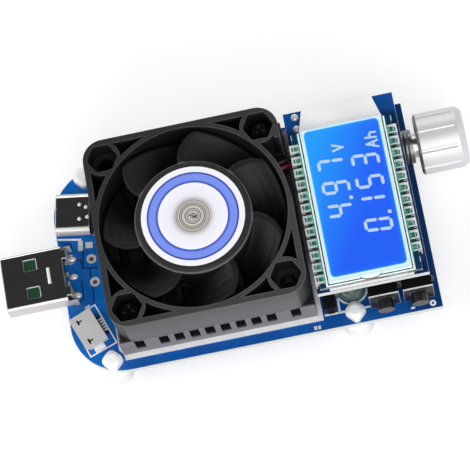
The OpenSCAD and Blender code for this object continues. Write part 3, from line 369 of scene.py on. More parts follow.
def nylon_finish():
    """Natural nylon, a little cloudy."""
    finish = Finish("nylon", Subsurface_Weight=0.25, Subsurface_Radius=(0.002, 0.002, 0.002))
    cloud = finish.noise(1.6, 3)
    finish.paint(Base_Color=finish.mix(cloud, (0.96, 0.955, 0.965), (0.88, 0.87, 0.89)),
                 Roughness=0.3 + 0.2 * cloud)
    return finish.bump(cloud, 0.04).material


def pad_finish():
    """White silicone pad, with painted shade in the narrow gap between the heatsink and the
    display.
    """
    low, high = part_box("thermal_pad")
    finish = Finish("silicone_pad", Vector((high.x, low.y, high.z)))
    tone, speck, base = finish.grained(FINE_GRAIN, (0.6, 0.6, 0.61), (1.0, 1.0, 1.0))
    # Painted shade: near black in the narrow gap between the heatsink and the display board
    gap = finish.x.rise(-1.6, -0.9) * finish.y.rise(3, 15)
    base = finish.mix(gap * 0.85, base, (0.05, 0.046, 0.048))
    finish.paint(Base_Color=base, Roughness=0.52 + 0.16 * tone)
    return finish.bump(speck, 0.01).material


def extrusion_finish():
    """Anodised extrusion, drawn along Y, paler along its edges, with painted shade, near black,
    away from its front and left faces.
    """
    low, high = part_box("heatsink")
    half = ((high - low) / 2 / MM).xy
    finish = Finish("anodised_extrusion", middle("heatsink"))
    drawn = finish.noise(0.3, 3, (1, 30, 1))
    tone = finish.noise(5, 2)
    outside = (-half.x - finish.x).at_least(-half.y - finish.y).rise(-0.5, -0.1)
    base = finish.mix(drawn * 0.5 + tone * 0.5, (0.12, 0.114, 0.124), (0.22, 0.207, 0.226))
    base = finish.mix(finish.edges(FINE_EDGE_W), base, (0.34, 0.33, 0.35))
    # Painted shade: near black except along the front and left faces
    base = finish.mix(outside, (0.006, 0.006, 0.007), base)
    finish.paint(Base_Color=base, Roughness=0.32 + 0.18 * drawn)
    return finish.bump(drawn, 0.02).material


def fan_finish():
    """Fan frame: grained black plastic, with painted shade inside its throat, hollows and pockets.

    Painted light makes the walls paler low down; painted shade darkens the walls that face the
    display and the corner away from the light; painted highlights run along the edges.
    """
    low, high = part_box("fan_frame")
    half = ((high - low) / 2 / MM).x
    finish = Finish("fan_plastic", Vector((FAN_AXIS.x, FAN_AXIS.y, high.z)))
    tone, speck, base = finish.grained(0.25, (0.024, 0.023, 0.025), (0.05, 0.047, 0.051), 0.4)
    inside = 1 - abs(finish.x).at_least(abs(finish.y)).rise(half - 0.5, half - 0.3)
    # Painted shade: near black low down inside the throat, hollows and pockets
    deep = (1 - finish.z.rise(-0.6, -0.1)) * inside
    # Painted shade: darker towards the back left corner, away from the light
    near = (finish.x - finish.y).rise(-2 * half, 2 * half)
    base = finish.mix(1 - near, base, (0.012, 0.0115, 0.0125))
    # Painted light: the walls are paler low down
    wall = finish.mix(finish.z.rise(-8, -1), (0.1, 0.093, 0.1), (0.05, 0.047, 0.05))
    # Painted shade: the walls that face +X, towards the display, are near black
    wall = finish.mix(finish.facing(AXIS_X).rise(0.2, 0.8), wall, (0.008, 0.0075, 0.008))
    base = finish.mix(1 - abs(finish.facing(AXIS_Z)).rise(0.3, 0.7), base, wall)
    # Painted highlight along the edges, stronger towards the lit corner
    base = finish.mix(finish.edges() * (0.5 + 0.5 * near), base, (0.15, 0.145, 0.15))
    base = finish.mix(deep, base, (0.007, 0.007, 0.0075))
    finish.paint(Base_Color=base, Roughness=0.42 + 0.16 * tone)
    return finish.bump(speck, 0.03).material


HUB_MARGIN = 1.45
BLADE_SOFT = 0.7


def rotor_finish():
    """Fan rotor: smooth black plastic with a painted highlight along the edge round the hub."""
    low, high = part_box("hub_label")
    hub = (high.x - low.x) / 2 / MM + HUB_MARGIN
    finish = Finish("rotor_plastic", Specular_IOR_Level=0.2)
    tone, speck, base = finish.grained(FINE_GRAIN, (0.006, 0.006, 0.0065), (0.01, 0.01, 0.0105))
    radius = (finish.x ** 2 + finish.y ** 2) ** 0.5
    top = finish.z.rise(-0.8, -0.7)
    base = finish.mix((1 - radius.rise(hub - 0.4, hub)) * top, base, (0.024, 0.023, 0.024))
    # Painted highlight: a pale ring along the edge of the hub
    rim = radius.rise(hub - 0.35, hub - 0.2) * (1 - radius.rise(hub + 0.02, hub + 0.1)) * top
    base = finish.mix(rim, base, (0.12, 0.117, 0.12))
    finish.paint(Base_Color=base, Roughness=0.4 + 0.16 * tone)
    return finish.bump(speck, 0.01, BLADE_SOFT).material


# Colours from the middle of the label to its rim
LABEL_BANDS = (
    (0.0, (0.9, 0.88, 0.86)), (0.08, (0.8, 0.76, 0.73)), (0.1, (0.2, 0.17, 0.15)),
    (0.13, (0.7, 0.65, 0.61)), (0.28, (0.6, 0.55, 0.51)), (0.35, (0.66, 0.62, 0.62)),
    (0.45, (0.85, 0.84, 0.93)), (0.668, (0.9, 0.9, 0.95)), (0.68, (0.01, 0.02, 0.36)),
    (0.698, (0.06, 0.1, 0.6)), (0.73, (0.19, 0.29, 0.84)), (0.85, (0.19, 0.29, 0.84)),
    (0.863, (0.01, 0.02, 0.34)), (0.88, (0.02, 0.03, 0.4)), (0.895, (0.88, 0.88, 0.93)),
    (1.0, (0.9, 0.9, 0.93)))
LABEL_RINGS = 30


def label_finish():
    """Printed label: a blue ring on white round a grey target of fine rings."""
    low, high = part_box("hub_label")
    finish = Finish("printed_label", middle("hub_label"), Coat_Weight=0.2)
    radius = (finish.x ** 2 + finish.y ** 2) ** 0.5 / ((high.x - low.x) / 2 / MM)
    bands = finish.add("ShaderNodeValToRGB", {"stops": LABEL_BANDS}, {0: radius})
    ripple = finish.add("ShaderNodeTexNoise", {"noise_dimensions": "1D"},
                        {"W": radius * LABEL_RINGS, "Scale": 1.0, "Detail": 2.0})
    core = 1 - radius.rise(0.32, 0.4)
    lines = ripple.rise(0.45, 0.57) * core
    base = finish.mix(lines * 0.85, bands, (0.12, 0.1, 0.09))
    speck = finish.noise(0.45, 1).rise(0.54, 0.6) * (1 - radius.rise(0.07, 0.11))
    base = finish.mix(speck, base, (0.01, 0.01, 0.01))
    finish.paint(Base_Color=base, Roughness=0.3 + 0.15 * ripple)
    return finish.bump(ripple, 0.004).material


VIEW_CORNER = 1.2
DEEP_BLUE = (0.016, 0.07, 0.88)
PALE_BLUE = (0.018, 0.32, 0.93)
GLOW_EDGE = (0.3, 0.76, 1.0)
GLOW_WHITE = (0.72, 0.92, 1.0)


def film_finish():
    """Lit display film: deep blue, paler towards the lamp and along the rounded border."""
    low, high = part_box("lcd_polariser")
    half_x, half_y = ((high - low) / 2 / MM).xy
    finish = Finish(
        "lit_display_film", middle("lcd_polariser"), Roughness=0.2, Emission_Strength=1.0)
    across = (abs(finish.x) - (half_x - VIEW_CORNER)).at_least(0)
    along = (abs(finish.y) - (half_y - VIEW_CORNER)).at_least(0)
    depth = VIEW_CORNER - (across ** 2 + along ** 2) ** 0.5
    lamp = (finish.y / half_y * 0.5 - finish.x / half_x * 0.5).rise(-0.3, 1.0)
    cloud = finish.noise(6, 2)
    shine = (lamp * 0.9 + (1 - depth.rise(0.1, 2.2)) * 0.35 + cloud * 0.1 - 0.05).at_most(1)
    body = finish.mix(shine, DEEP_BLUE, PALE_BLUE)
    glow = finish.mix(depth.rise(0.15, 0.4), GLOW_EDGE, body)
    glow = finish.mix(depth.rise(0.05, 0.2), GLOW_WHITE, glow)
    film = finish.mix(cloud, (0.003, 0.01, 0.04), (0.003, 0.014, 0.05))
    return finish.paint(Base_Color=film, Emission_Color=glow).material


def glow_finish(name, colour, dim, strength, own=0.1):
    """Lit edge or figure of the display, a little uneven and with some colour of its own."""
    finish = Finish(name, Roughness=0.3, Emission_Strength=strength)
    cloud = finish.noise(1.5, 2)
    finish.paint(Base_Color=finish.mix(cloud, shade(colour, own), shade(dim, own)),
                 Emission_Color=finish.mix(cloud, colour, dim))
    return finish.material


# Colours from the front glass to the outer edge of the rear glass
LEDGE_BANDS = (
    (0.0, (0.88, 0.93, 0.94)), (0.06, (0.8, 0.88, 0.9)), (0.09, (0.02, 0.03, 0.035)),
    (0.195, (0.03, 0.05, 0.05)), (0.225, (0.78, 0.87, 0.88)), (0.34, (0.75, 0.84, 0.81)),
    (0.355, (0.05, 0.07, 0.07)), (0.39, (0.04, 0.06, 0.055)),
    (0.42, (0.12, 0.4, 0.28)), (0.6, (0.03, 0.19, 0.13)), (0.9, (0.006, 0.05, 0.04)),
    (0.95, (0.3, 0.42, 0.44)), (1.0, (0.5, 0.62, 0.62)))
BARE_LEDGE = 0.3
CLEAR_LEDGE = (0.002, 0.025, 0.08)


def ledge_finish():
    """Rear glass: pale lines along the front glass, then the green ledge that the pins grip.

    The ledge is clear, with the board's blue below it, before and after each row of pins, and has
    painted shade between the pins.
    """
    low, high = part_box("lcd_front_glass")
    half_x, half_y = ((high - low) / 2 / MM).xy
    ledge = (low.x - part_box("lcd_rear_glass")[0].x) / MM
    finish = Finish(
        "glass_ledge", middle("lcd_front_glass"), Coat_Weight=0.5, Emission_Strength=0.3)
    outside = (abs(finish.x) - half_x).at_least(abs(finish.y) - half_y) / ledge
    bands = finish.add("ShaderNodeValToRGB", {"stops": LEDGE_BANDS}, {0: outside})
    flow = finish.noise(0.9, 2)
    base = finish.mix(flow.rise(0.45, 0.75) * 0.3, bands, (0.5, 0.72, 0.62))
    gripped = outside.rise(0.4, 0.44)
    between = finish.from_pin().rise(0.4, 0.65)
    # Painted shade: dark between the pins where they grip the ledge
    base = finish.mix(between * gripped * 0.85, base, (0.002, 0.012, 0.012))
    glass_y = (low.y + high.y) / 2
    for side in (-1, 1):
        row = [box for box in solids("lcd_pins") if (box[0].x < low.x) == (side < 0)]
        first = (min(box[0].y for box in row) - glass_y) / MM - BARE_LEDGE
        last = (max(box[1].y for box in row) - glass_y) / MM + BARE_LEDGE
        bare = (first - finish.y).at_least(finish.y - last).rise(-0.1, 0.1)
        bare = bare * (finish.x * side).above(0) * gripped * (1 - outside.rise(0.85, 0.9))
        base = finish.mix(bare, base, CLEAR_LEDGE)
    return finish.paint(Base_Color=base, Emission_Color=base, Roughness=0.08 + 0.1 * flow).material


def pin_finish():
    """Tinned display pins, with a painted reflection of the green glass in their bends and a
    painted teal reflection on their inner arms.
    """
    low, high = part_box("lcd_pins")
    finish = Finish("display_pins", middle("lcd_front_glass"), Metallic=0.3)
    inward = (high.x - low.x) / 2 / MM - abs(finish.x)
    # Painted reflection: the green of the glass on the tops of the bends
    mirror = inward.rise(0.3, 0.38) * (1 - finish.from_pin().rise(0.42, 0.5))
    mirror = mirror * finish.facing(AXIS_Z).above(0.5)
    tone = finish.noise(0.8, 2)
    base = finish.mix(tone, (0.94, 0.94, 0.93), (0.84, 0.84, 0.84))
    # Painted reflection: a teal tint from the glass on the inner arms
    base = finish.mix(inward.rise(0.5, 1.6) * 0.8, base, (0.42, 0.68, 0.64))
    base = finish.mix(mirror, base, finish.mix(tone, (0.012, 0.11, 0.095), (0.08, 0.34, 0.28)))
    return finish.paint(Base_Color=base, Roughness=0.25 + 0.2 * tone).material


def bracket_finish():
    """Stamped switch brackets: polished sheet darkened by painted shade, with a painted highlight
    on its top and edges along the front.
    """
    low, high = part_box("switch_brackets")
    finish = Finish("bracket_sheet", Vector((FAN_AXIS.x, low.y, high.z)))
    marks = finish.noise(0.8, 3)
    front = 1 - finish.y.rise(0.4, 0.6)
    # Painted highlight: near white top faces and edges along the front
    cut = finish.facing(AXIS_Z).above(0.5).at_least(finish.edges()) * front
    # Painted shade: the sheet itself is near black
    sheet = finish.mix(marks, (0.012, 0.011, 0.011), (0.032, 0.03, 0.029))
    finish.paint(Base_Color=finish.mix(cut, sheet, (0.9, 0.89, 0.88)), Metallic=0.6 - 0.4 * cut,
                 Roughness=0.25 + 0.2 * marks)
    return finish.bump(marks, 0.002).material


def nickel_finish():
    """Bright nickel: a mirror on top, with painted light on the sides and painted highlights on the
    rib, the sharp edges and the lit edges of openings.
    """
    finish = Finish("bright_nickel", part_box("usb_a_shell")[1])
    tone = finish.noise(4, 3)
    marks = finish.noise(0.25, 3, (1, 25, 25))
    soft = finish.soft_normal(0.35)
    lean_x, lean_y = (finish.part_of(soft, axis) for axis in range(2))
    top = finish.facing(AXIS_Z).above(0.8)
    lit = (0 - lean_x).at_least(0 - lean_y).rise(0.12, 0.35) * top
    # Painted highlight: the rib just below the top
    rib = finish.z.rise(-0.1, -0.06) * top
    pale = lit.at_least(rib).at_least(finish.edges(FINE_EDGE_W) * 0.5)
    base = finish.mix(tone, (0.6, 0.59, 0.57), (0.8, 0.79, 0.77))
    # Painted light: the sides are a paler, less metallic copy of the nickel
    base = finish.mix(1 - top, base, finish.mix(tone, (0.68, 0.64, 0.63), (0.58, 0.54, 0.53)))
    # Painted highlights: the lit edges, the rib and the sharp edges are near white
    base = finish.mix(pale, base, (0.93, 0.92, 0.9))
    finish.paint(Base_Color=base, Metallic=1 - (0.9 * pale).at_least(0.6 * (1 - top)),
                 Roughness=0.1 + 0.08 * marks + 0.25 * (1 - top))
    return finish.bump(marks, 0.002).material


MICRO_TURN = math.radians(21.5)
MICRO_INSIDE = (3.3, 3.4)


def brushed_finish():
    """Brushed shell of the micro-USB port, with painted shade inside."""
    finish = Finish("brushed_nickel", middle("micro_usb_shell"), Metallic=0.6)
    tone = finish.noise(4, 3)
    marks = finish.noise(0.2, 3, (20, 1, 1))
    edge = finish.edges(FINE_EDGE_W)
    base = finish.mix(marks * 0.7 + tone * 0.3, (0.92, 0.92, 0.92), (0.66, 0.65, 0.65))
    base = finish.mix(edge, base, (0.96, 0.96, 0.96))
    across = abs(finish.y * math.cos(MICRO_TURN) - finish.x * math.sin(MICRO_TURN))
    inside = (1 - finish.z.rise(0.5, 0.7)) * (1 - across.rise(*MICRO_INSIDE))
    inside = inside * finish.facing(AXIS_Z).above(0.5)
    # Painted shade: upward faces inside the opening are near black
    base = finish.mix(inside, base, (0.004, 0.004, 0.004))
    finish.paint(Base_Color=base, Roughness=0.35 + 0.2 * marks)
    return finish.bump(marks, 0.006).material


def glass_finish(name, tint, rough, clear):
    """Clear glass or resin with faint flow marks."""
    finish = Finish(name, Transmission_Weight=clear, IOR=1.5)
    flow = finish.noise(3, 2)
    base = finish.mix(flow, tint, shade(tint, 0.9))
    finish.paint(Base_Color=base, Roughness=rough + rough * flow)
    return finish.bump(flow, 0.01).material


def knob_finish():
    """Turned aluminium: fine rings round the shaft, a soft bright skin and painted shade on the
    inner rim.
    """
    low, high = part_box("knob")
    finish = Finish("turned_aluminium", middle("knob"), Metallic=0.4)
    rings = finish.noise(0.12, 2, (1, 60, 60))
    tone = finish.noise(3, 2)
    base = finish.mix(tone, (0.74, 0.74, 0.76), (0.67, 0.67, 0.69))
    # Painted shade: the inner end of the knob, towards the bushing, is dark
    inner = 1 - (finish.x + (high.x - low.x) / 2 / MM).rise(0.45, 0.6)
    base = finish.mix(inner, base, (0.2, 0.19, 0.19))
    finish.paint(Base_Color=base, Roughness=0.38 + 0.14 * rings)
    return finish.bump(rings, 0.004).material


def floor_finish():
    """Pale floor that shows white and keeps a faint shadow."""
    finish = Finish("floor", Roughness=0.9, Emission_Strength=1.0)
    seen = finish.add("ShaderNodeLightPath", output="Is Camera Ray")
    for ray in ("Is Glossy Ray", "Is Transmission Ray"):
        seen = seen.at_least(finish.add("ShaderNodeLightPath", output=ray))
    grain = finish.noise(30, 2)
    finish.paint(Base_Color=finish.mix(grain, (0.6, 0.6, 0.6), (0.58, 0.58, 0.58)),
                 Emission_Color=finish.mix(seen, (0, 0, 0), (0.5, 0.5, 0.5)))
    return finish.material


# Studio

FLOOR_HALF = 1.5
# Name, place and size in metres, and power of each soft box
LIGHTS = (
    ("key_box", (0.1, -0.36, 0.8), (0.5, 0.4), 2.0),
    ("front_box", (0.1, -0.75, 0.5), (0.9, 0.5), 4.4),
    ("left_box", (-0.75, 0.0, 0.5), (0.6, 0.5), 3.4),
    ("right_box", (0.75, 0.1, 0.5), (0.6, 0.5), 0.9),
    ("back_box", (0.0, 0.8, 0.42), (0.9, 0.3), 1.8),
)
SKY_COLOUR = (0.97, 0.98, 1.0, 1)
SKY_LOW = 0.6
SKY_TOP = 0.035


def set_studio():
    """Pale floor, five soft boxes and a sky that is bright low down and dark overhead."""
    mesh = bpy.data.meshes.new("floor")
    h = FLOOR_HALF
    mesh.from_pydata([(-h, -h, 0), (h, -h, 0), (h, h, 0), (-h, h, 0)], [], [(0, 1, 2, 3)])
    floor = bpy.data.objects.new("floor", mesh)
    floor.location.z = cad_low.z
    mesh.materials.append(floor_finish())
    bpy.context.scene.collection.objects.link(floor)
    for name, place, size, power in LIGHTS:
        lamp = bpy.data.lights.new(name, "AREA")
        lamp.shape = "RECTANGLE"
        lamp.size, lamp.size_y = size
        lamp.energy = power
        box = bpy.data.objects.new(name, lamp)
        box.location = place
        box.rotation_euler = (-Vector(place)).to_track_quat("-Z", "Y").to_euler()
        bpy.context.scene.collection.objects.link(box)
    world = bpy.data.worlds.new("sky")
    world.use_nodes = True
    bpy.context.scene.world = world
    sky = Graph(world.node_tree)
    ray = sky.add("ShaderNodeTexCoord", output="Generated")
    height = sky.add("ShaderNodeSeparateXYZ", None, {0: ray}, AXIS_Z)
    strength = SKY_LOW - (SKY_LOW - SKY_TOP) * height.rise(0.35, 0.85)
    light = sky.add("ShaderNodeBackground", None, {"Color": SKY_COLOUR, "Strength": strength})
    sky.add("ShaderNodeOutputWorld", None, {"Surface": light})
    bpy.context.scene.view_settings.view_transform = "Standard"


# Pieces

def add_piece(name, mesh, finish, body=BOARD):
    """Puts a mesh into the scene with its finish, on the body that carries it."""
    mesh.materials.append(finish)
    piece = bpy.data.objects.new(name, mesh)
    bpy.context.scene.collection.objects.link(piece)
    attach(piece, body)


# Corners that agree when rounded to this many steps per metre are one corner
CORNER_STEPS = 1e7


def solids(node):
    """Boxes of the separate solids of a node, as pairs of corners."""
    mesh = frame["nodes"][node].data
    group = {}

    def root(key):
        while group[key] != key:
            key = group[key]
        return key

    keys = [tuple(round(c * CORNER_STEPS) for c in vertex.co) for vertex in mesh.vertices]
    for key in keys:
        group[key] = key
    for face in mesh.polygons:
        first = root(keys[face.vertices[0]])
        for corner in face.vertices[1:]:
            group[root(keys[corner])] = first
    boxes = {}
    for key, vertex in zip(keys, mesh.vertices):
        low, high = boxes.setdefault(root(key), (vertex.co.copy(), vertex.co.copy()))
        for axis in range(3):
            low[axis] = min(low[axis], vertex.co[axis])
            high[axis] = max(high[axis], vertex.co[axis])
    return list(boxes.values())


class Recipe(Graph):
    """A Geometry Nodes tree with named inputs, run on a mesh and turned into a plain mesh."""

    def __init__(self, name, sizes):
        tree = bpy.data.node_groups.new(name, "GeometryNodeTree")
        super().__init__(tree)
        self.ids = {}
        for label, kind in (("Geometry", "Geometry"), *sizes, ("Finish", "Material")):
            item = tree.interface.new_socket(label, in_out="INPUT", socket_type="NodeSocket" + kind)
            self.ids[label] = item.identifier
        tree.interface.new_socket("Geometry", in_out="OUTPUT", socket_type="NodeSocketGeometry")
        source = tree.nodes.new("NodeGroupInput")
        self.given = {socket.name: Value(self, socket) for socket in source.outputs if socket.name}

    def section(self):
        """Rectangle of the given width and height."""
        sizes = {key: self.given[key] for key in ("Width", "Height")}
        return self.add("GeometryNodeCurvePrimitiveQuadrilateral", None, sizes)

    def circle(self, radius, steps):
        """Circle of a radius, in straight steps."""
        return self.add(
            "GeometryNodeCurvePrimitiveCircle", None, {"Resolution": steps, "Radius": radius})

    def level(self, curve):
        """A curve whose sections stand upright."""
        return self.add("GeometryNodeSetCurveNormal", {"mode": "Z_UP"}, {"Curve": curve})

    def swept(self, curve, section, caps):
        """Mesh of a section drawn along a curve."""
        return self.add(
            "GeometryNodeCurveToMesh", None,
            {"Curve": curve, "Profile Curve": section, "Fill Caps": caps})

    def at_points(self, geometry):
        """The geometry, once at every point of the mesh."""
        return self.add(
            "GeometryNodeInstanceOnPoints", None,
            {"Points": self.given["Geometry"], "Instance": geometry})

    def close(self, geometry, smooth=False):
        """Ends the tree with one plain mesh in the given finish."""
        whole = self.add("GeometryNodeRealizeInstances", None, {0: geometry})
        soft = self.add(
            "GeometryNodeSetShadeSmooth", None, {"Geometry": whole, "Shade Smooth": smooth})
        done = self.add(
            "GeometryNodeSetMaterial", None, {"Geometry": soft, "Material": self.given["Finish"]})
        self.add("NodeGroupOutput", None, {0: done})
        return self

    def make(self, name, points, edges, finish, slot, body=BOARD, **sizes):
        """Runs the tree on points and edges, and adds the result as a piece."""
        seed = bpy.data.meshes.new(name)
        seed.from_pydata(points, edges, [])
        piece = bpy.data.objects.new(name, seed)
        bpy.context.scene.collection.objects.link(piece)
        modifier = piece.modifiers.new(name, "NODES")
        modifier.node_group = self.tree
        for label, value in {**sizes, "Finish": finish}.items():
            modifier[self.ids[label]] = value
        scene_now = bpy.context.evaluated_depsgraph_get()
        mesh = bpy.data.meshes.new_from_object(piece.evaluated_get(scene_now))
        piece.modifiers.clear()
        piece.data = mesh
        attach(piece, body)


def strip_recipe():
    """Flat strips along the edges of the mesh."""
    recipe = Recipe("flat_strips", (("Width", "Float"), ("Height", "Float")))
    line = recipe.add("GeometryNodeMeshToCurve", None, {"Mesh": recipe.given["Geometry"]})
    return recipe.close(recipe.swept(recipe.level(line), recipe.section(), True))


def dome_recipe():
    """Rounded bumps of one size at every point."""
    recipe = Recipe("domes", (("Size", "Vector"),))
    ball = recipe.add(
        "GeometryNodeMeshUVSphere", None, {"Segments": 16, "Rings": 8, "Radius": 0.5})
    sized = recipe.add(
        "GeometryNodeTransform", None, {"Geometry": ball, "Scale": recipe.given["Size"]})
    return recipe.close(recipe.at_points(sized), smooth=True)


def ring_recipe():
    """Flat rings of one size round every point."""
    recipe = Recipe(
        "plated_rings", (("Radius", "Float"), ("Width", "Float"), ("Height", "Float")))
    circle = recipe.level(recipe.circle(recipe.given["Radius"], 32))
    return recipe.close(recipe.at_points(recipe.swept(circle, recipe.section(), False)))


def thread_recipe():
    """Screw thread along X from every point: a sharp ridge wound round the axis."""
    recipe = Recipe("screw_thread", (
        ("Radius", "Float"), ("Turns", "Float"), ("Length", "Float"), ("Ridge", "Float")))
    radius = recipe.given["Radius"]
    coil = recipe.add("GeometryNodeCurveSpiral", None, {
        "Resolution": 40, "Rotations": recipe.given["Turns"], "Start Radius": radius,
        "End Radius": radius, "Height": recipe.given["Length"]})
    thread = recipe.swept(coil, recipe.circle(recipe.given["Ridge"], 4), True)
    laid = recipe.add(
        "GeometryNodeTransform", None, {"Geometry": thread, "Rotation": (0, math.pi / 2, 0)})
    return recipe.close(recipe.at_points(laid))


def lines(*paths):
    """Points and edges of several paths; a path that ends where it starts is closed."""
    points, edges = [], []
    for path in paths:
        first = len(points)
        closed = path[0] == path[-1]
        stops = path[:-1] if closed else path
        points += [spot(*stop) for stop in stops]
        edges += [(first + i, first + i + 1) for i in range(len(stops) - 1)]
        if closed:
            edges.append((len(points) - 1, first))
    return points, edges


def prisms(outlines, bottom, top):
    """Mesh of upright prisms over flat outlines of (x, y) points in metres."""
    model = bmesh.new()
    for outline in outlines:
        lower = [model.verts.new((x, y, bottom)) for x, y in outline]
        upper = [model.verts.new((x, y, top)) for x, y in outline]
        model.faces.new(lower[::-1])
        model.faces.new(upper)
        for i in range(len(outline)):
            k = (i + 1) % len(outline)
            model.faces.new((lower[i], lower[k], upper[k], upper[i]))
    bmesh.ops.recalc_face_normals(model, faces=model.faces)
    mesh = bpy.data.meshes.new("prisms")
    model.to_mesh(mesh)
    model.free()
    return mesh


def revolved(profile, centre, steps=32):
    """Closed mesh of a profile of (radius, z) in mm, turned round the upright line at a centre."""
    model = bmesh.new()
    rings = []
    for radius, z in profile:
        if radius == 0:
            rings.append([model.verts.new(centre + Vector((0, 0, z)) * MM)])
            continue
        turns = (2 * math.pi * i / steps for i in range(steps))
        rings.append([
            model.verts.new(centre + Vector((radius * math.cos(t), radius * math.sin(t), z)) * MM)
            for t in turns])
    for low, high in zip(rings, rings[1:]):
        for i in range(steps):
            k = (i + 1) % steps
            corners = (
                low[i % len(low)], low[k % len(low)], high[k % len(high)], high[i % len(high)])
            model.faces.new(list(dict.fromkeys(corners)))
    bmesh.ops.recalc_face_normals(model, faces=model.faces)
    mesh = bpy.data.meshes.new("revolved")
    model.to_mesh(mesh)
    model.free()
    return mesh


# Display figures

SEGMENTS = {
    "0": "abcdef", "1": "bc", "3": "abcdg", "4": "bcfg", "5": "acdfg", "7": "abc", "9": "abcdfg"}
FIGURE_H = 5.7
FIGURE_W = 2.75
STROKE = 0.64
SEGMENT_GAP = 0.16
SLANT = 0.08
LETTERS = {
    "V": ([(0, 1), (0.5, 0), (1, 1)],),
    "A": ([(0, 0), (0.5, 1), (1, 0)], [(0.22, 0.36), (0.78, 0.36)]),
    "h": ([(0, 0), (0, 1.25)], [(0, 0.6), (0.5, 0.75), (0.9, 0.55), (0.9, 0)]),
}
LETTER_STROKE = 0.4
DOT_HALF = STROKE * 0.55
SQUARE = ((-1, -1), (1, -1), (1, 1), (-1, 1))


def segment(start, end):
    """Six-sided bar from start to end, in mm."""
    start, end = Vector(start), Vector(end)
    along = (end - start).normalized()
    side = Vector((-along.y, along.x)) * STROKE / 2
    tip = along * STROKE / 2
    start, end = start + along * SEGMENT_GAP / 2, end - along * SEGMENT_GAP / 2
    return [start, start + tip - side, end - tip - side, end, end - tip + side, start + tip + side]


def figure(digit):
    """Lit bars of one seven-segment digit about its middle, reading along +X, its top at +Y."""
    w, h = (FIGURE_W - STROKE) / 2, (FIGURE_H - STROKE) / 2
    ends = {
        "a": ((-w, h), (w, h)), "b": ((w, h), (w, 0)), "c": ((w, 0), (w, -h)),
        "d": ((-w, -h), (w, -h)), "e": ((-w, 0), (-w, -h)), "f": ((-w, h), (-w, 0)),
        "g": ((-w, 0), (w, 0))}
    return [segment(*ends[bar]) for bar in SEGMENTS[digit]]


def stroke(path, width):
    """Straight bars along a path of points."""
    bars = []
    for start, end in zip(path, path[1:]):
        start, end = Vector(start), Vector(end)
        along = (end - start).normalized() * width / 2
        side = Vector((-along.y, along.x))
        start, end = start - along, end + along
        bars.append([start - side, end - side, end + side, start + side])
    return bars


def letter(name, width, height):
    """Bars of one letter, from its lower left corner."""
    paths = [[(u * width, v * height) for u, v in path] for path in LETTERS[name]]
    return [bar for path in paths for bar in stroke(path, LETTER_STROKE)]


def dot():
    """Decimal point, a square about its middle."""
    return [[Vector((x * DOT_HALF, y * DOT_HALF)) for x, y in SQUARE]]


# What the display shows: bars, and where they stand on the board
UPPER_ROW = 28.95
LOWER_ROW = 35.75
READOUT = (
    (figure("4"), UPPER_ROW, -4.75), (dot(), 31.5, -2.45), (figure("9"), UPPER_ROW, 0.2),
    (figure("7"), UPPER_ROW, 4.95), (letter("V", 1.25, 2.0), 31.8, 7.75),
    (figure("0"), LOWER_ROW, -9.15), (dot(), 38.4, -6.95), (figure("1"), LOWER_ROW, -4.55),
    (figure("5"), LOWER_ROW, 0.05), (figure("3"), LOWER_ROW, 4.65),
    (letter("A", 1.4, 2.2), 38.8, 7.0), (letter("h", 1.2, 1.7), 38.7, 9.1))
FIGURE_T = 0.03


def add_readout(finish):
    """Figures on the display film. They read along +Y, with their tops towards the fan."""
    film_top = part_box("lcd_polariser")[1].z
    outlines = []
    for bars, x, y in READOUT:
        for bar in bars:
            places = (spot(x - p.y, y + p.x + SLANT * p.y) for p in bar)
            outlines.append([(place.x, place.y) for place in places])
    mesh = prisms(outlines, film_top, film_top + FIGURE_T * MM)
    add_piece("display_figures", mesh, finish)


# Print, copper and solder on the boards

PRINT_T = 0.03
PRINT_W = 0.4
MICRO_FRAME = ((-30.0, -10.15), (-24.5, -7.95), (-21.3, -16.8), (-27.0, -18.75), (-30.0, -10.15))
DIODE_LINE = ((24.6, -15.6), (24.45, -20.08))
FRONT_LINE = ((21.3, -20.08), (31.0, -20.08))
PORT_LINE = ((-30.0, 7.62), (-25.1, 6.6))
CORNER_MARK = ((38.7, -22.2), (39.5, -22.2))
CORNER_RING = (43.2, -22.0, 0.9)
LED_RING_D = 6.5
TRACES = (
    ((-25.2, 4.0), (-25.7, 0.4), (-24.4, 0.1), (-24.35, -5.3), (-24.7, -7.6)),
    ((-27.4, 2.6), (-25.9, 2.2), (-25.75, 0.4)), ((-22.6, 0.0), (-24.4, 0.1)),
    ((-28.6, -7.4), (-26.6, -6.2), (-26.4, -2.2)), ((-29.2, 6.6), (-27.6, 6.2), (-27.3, 4.9)))
TRACE_W = 0.3
TRACE_T = 0.03
WIRE_HOLES = ((-23.7, 2.04), (-23.7, -3.04))
RING_D = 1.55
RING_W = 0.5
RING_T = 0.08
FILLING_D = 1.0
FILLING_DEPTH = 0.3
END_CAP = 0.7
END_CAP_T = 0.03
JOINT_SIZE = (1.6, 1.6, 1.1)
LEG_FROM_BACK = 0.45
LEG_FROM_SIDE = 0.15
PLUG_TAILS = ((-27.7, 2.7, 0.1), (-27.7, -5.3, 0.1), (-27.9, -1.1, 0.1))
PLUG_TAIL_SIZE = (1.9, 1.3, 0.9)
WELDS = ((-23.95, 13.1, 3.2), (-24.45, 10.0, 3.2), (-22.7, 12.3, 3.2), (-22.75, 10.1, 3.2))
WELD_SIZE = (0.8, 0.8, 0.3)
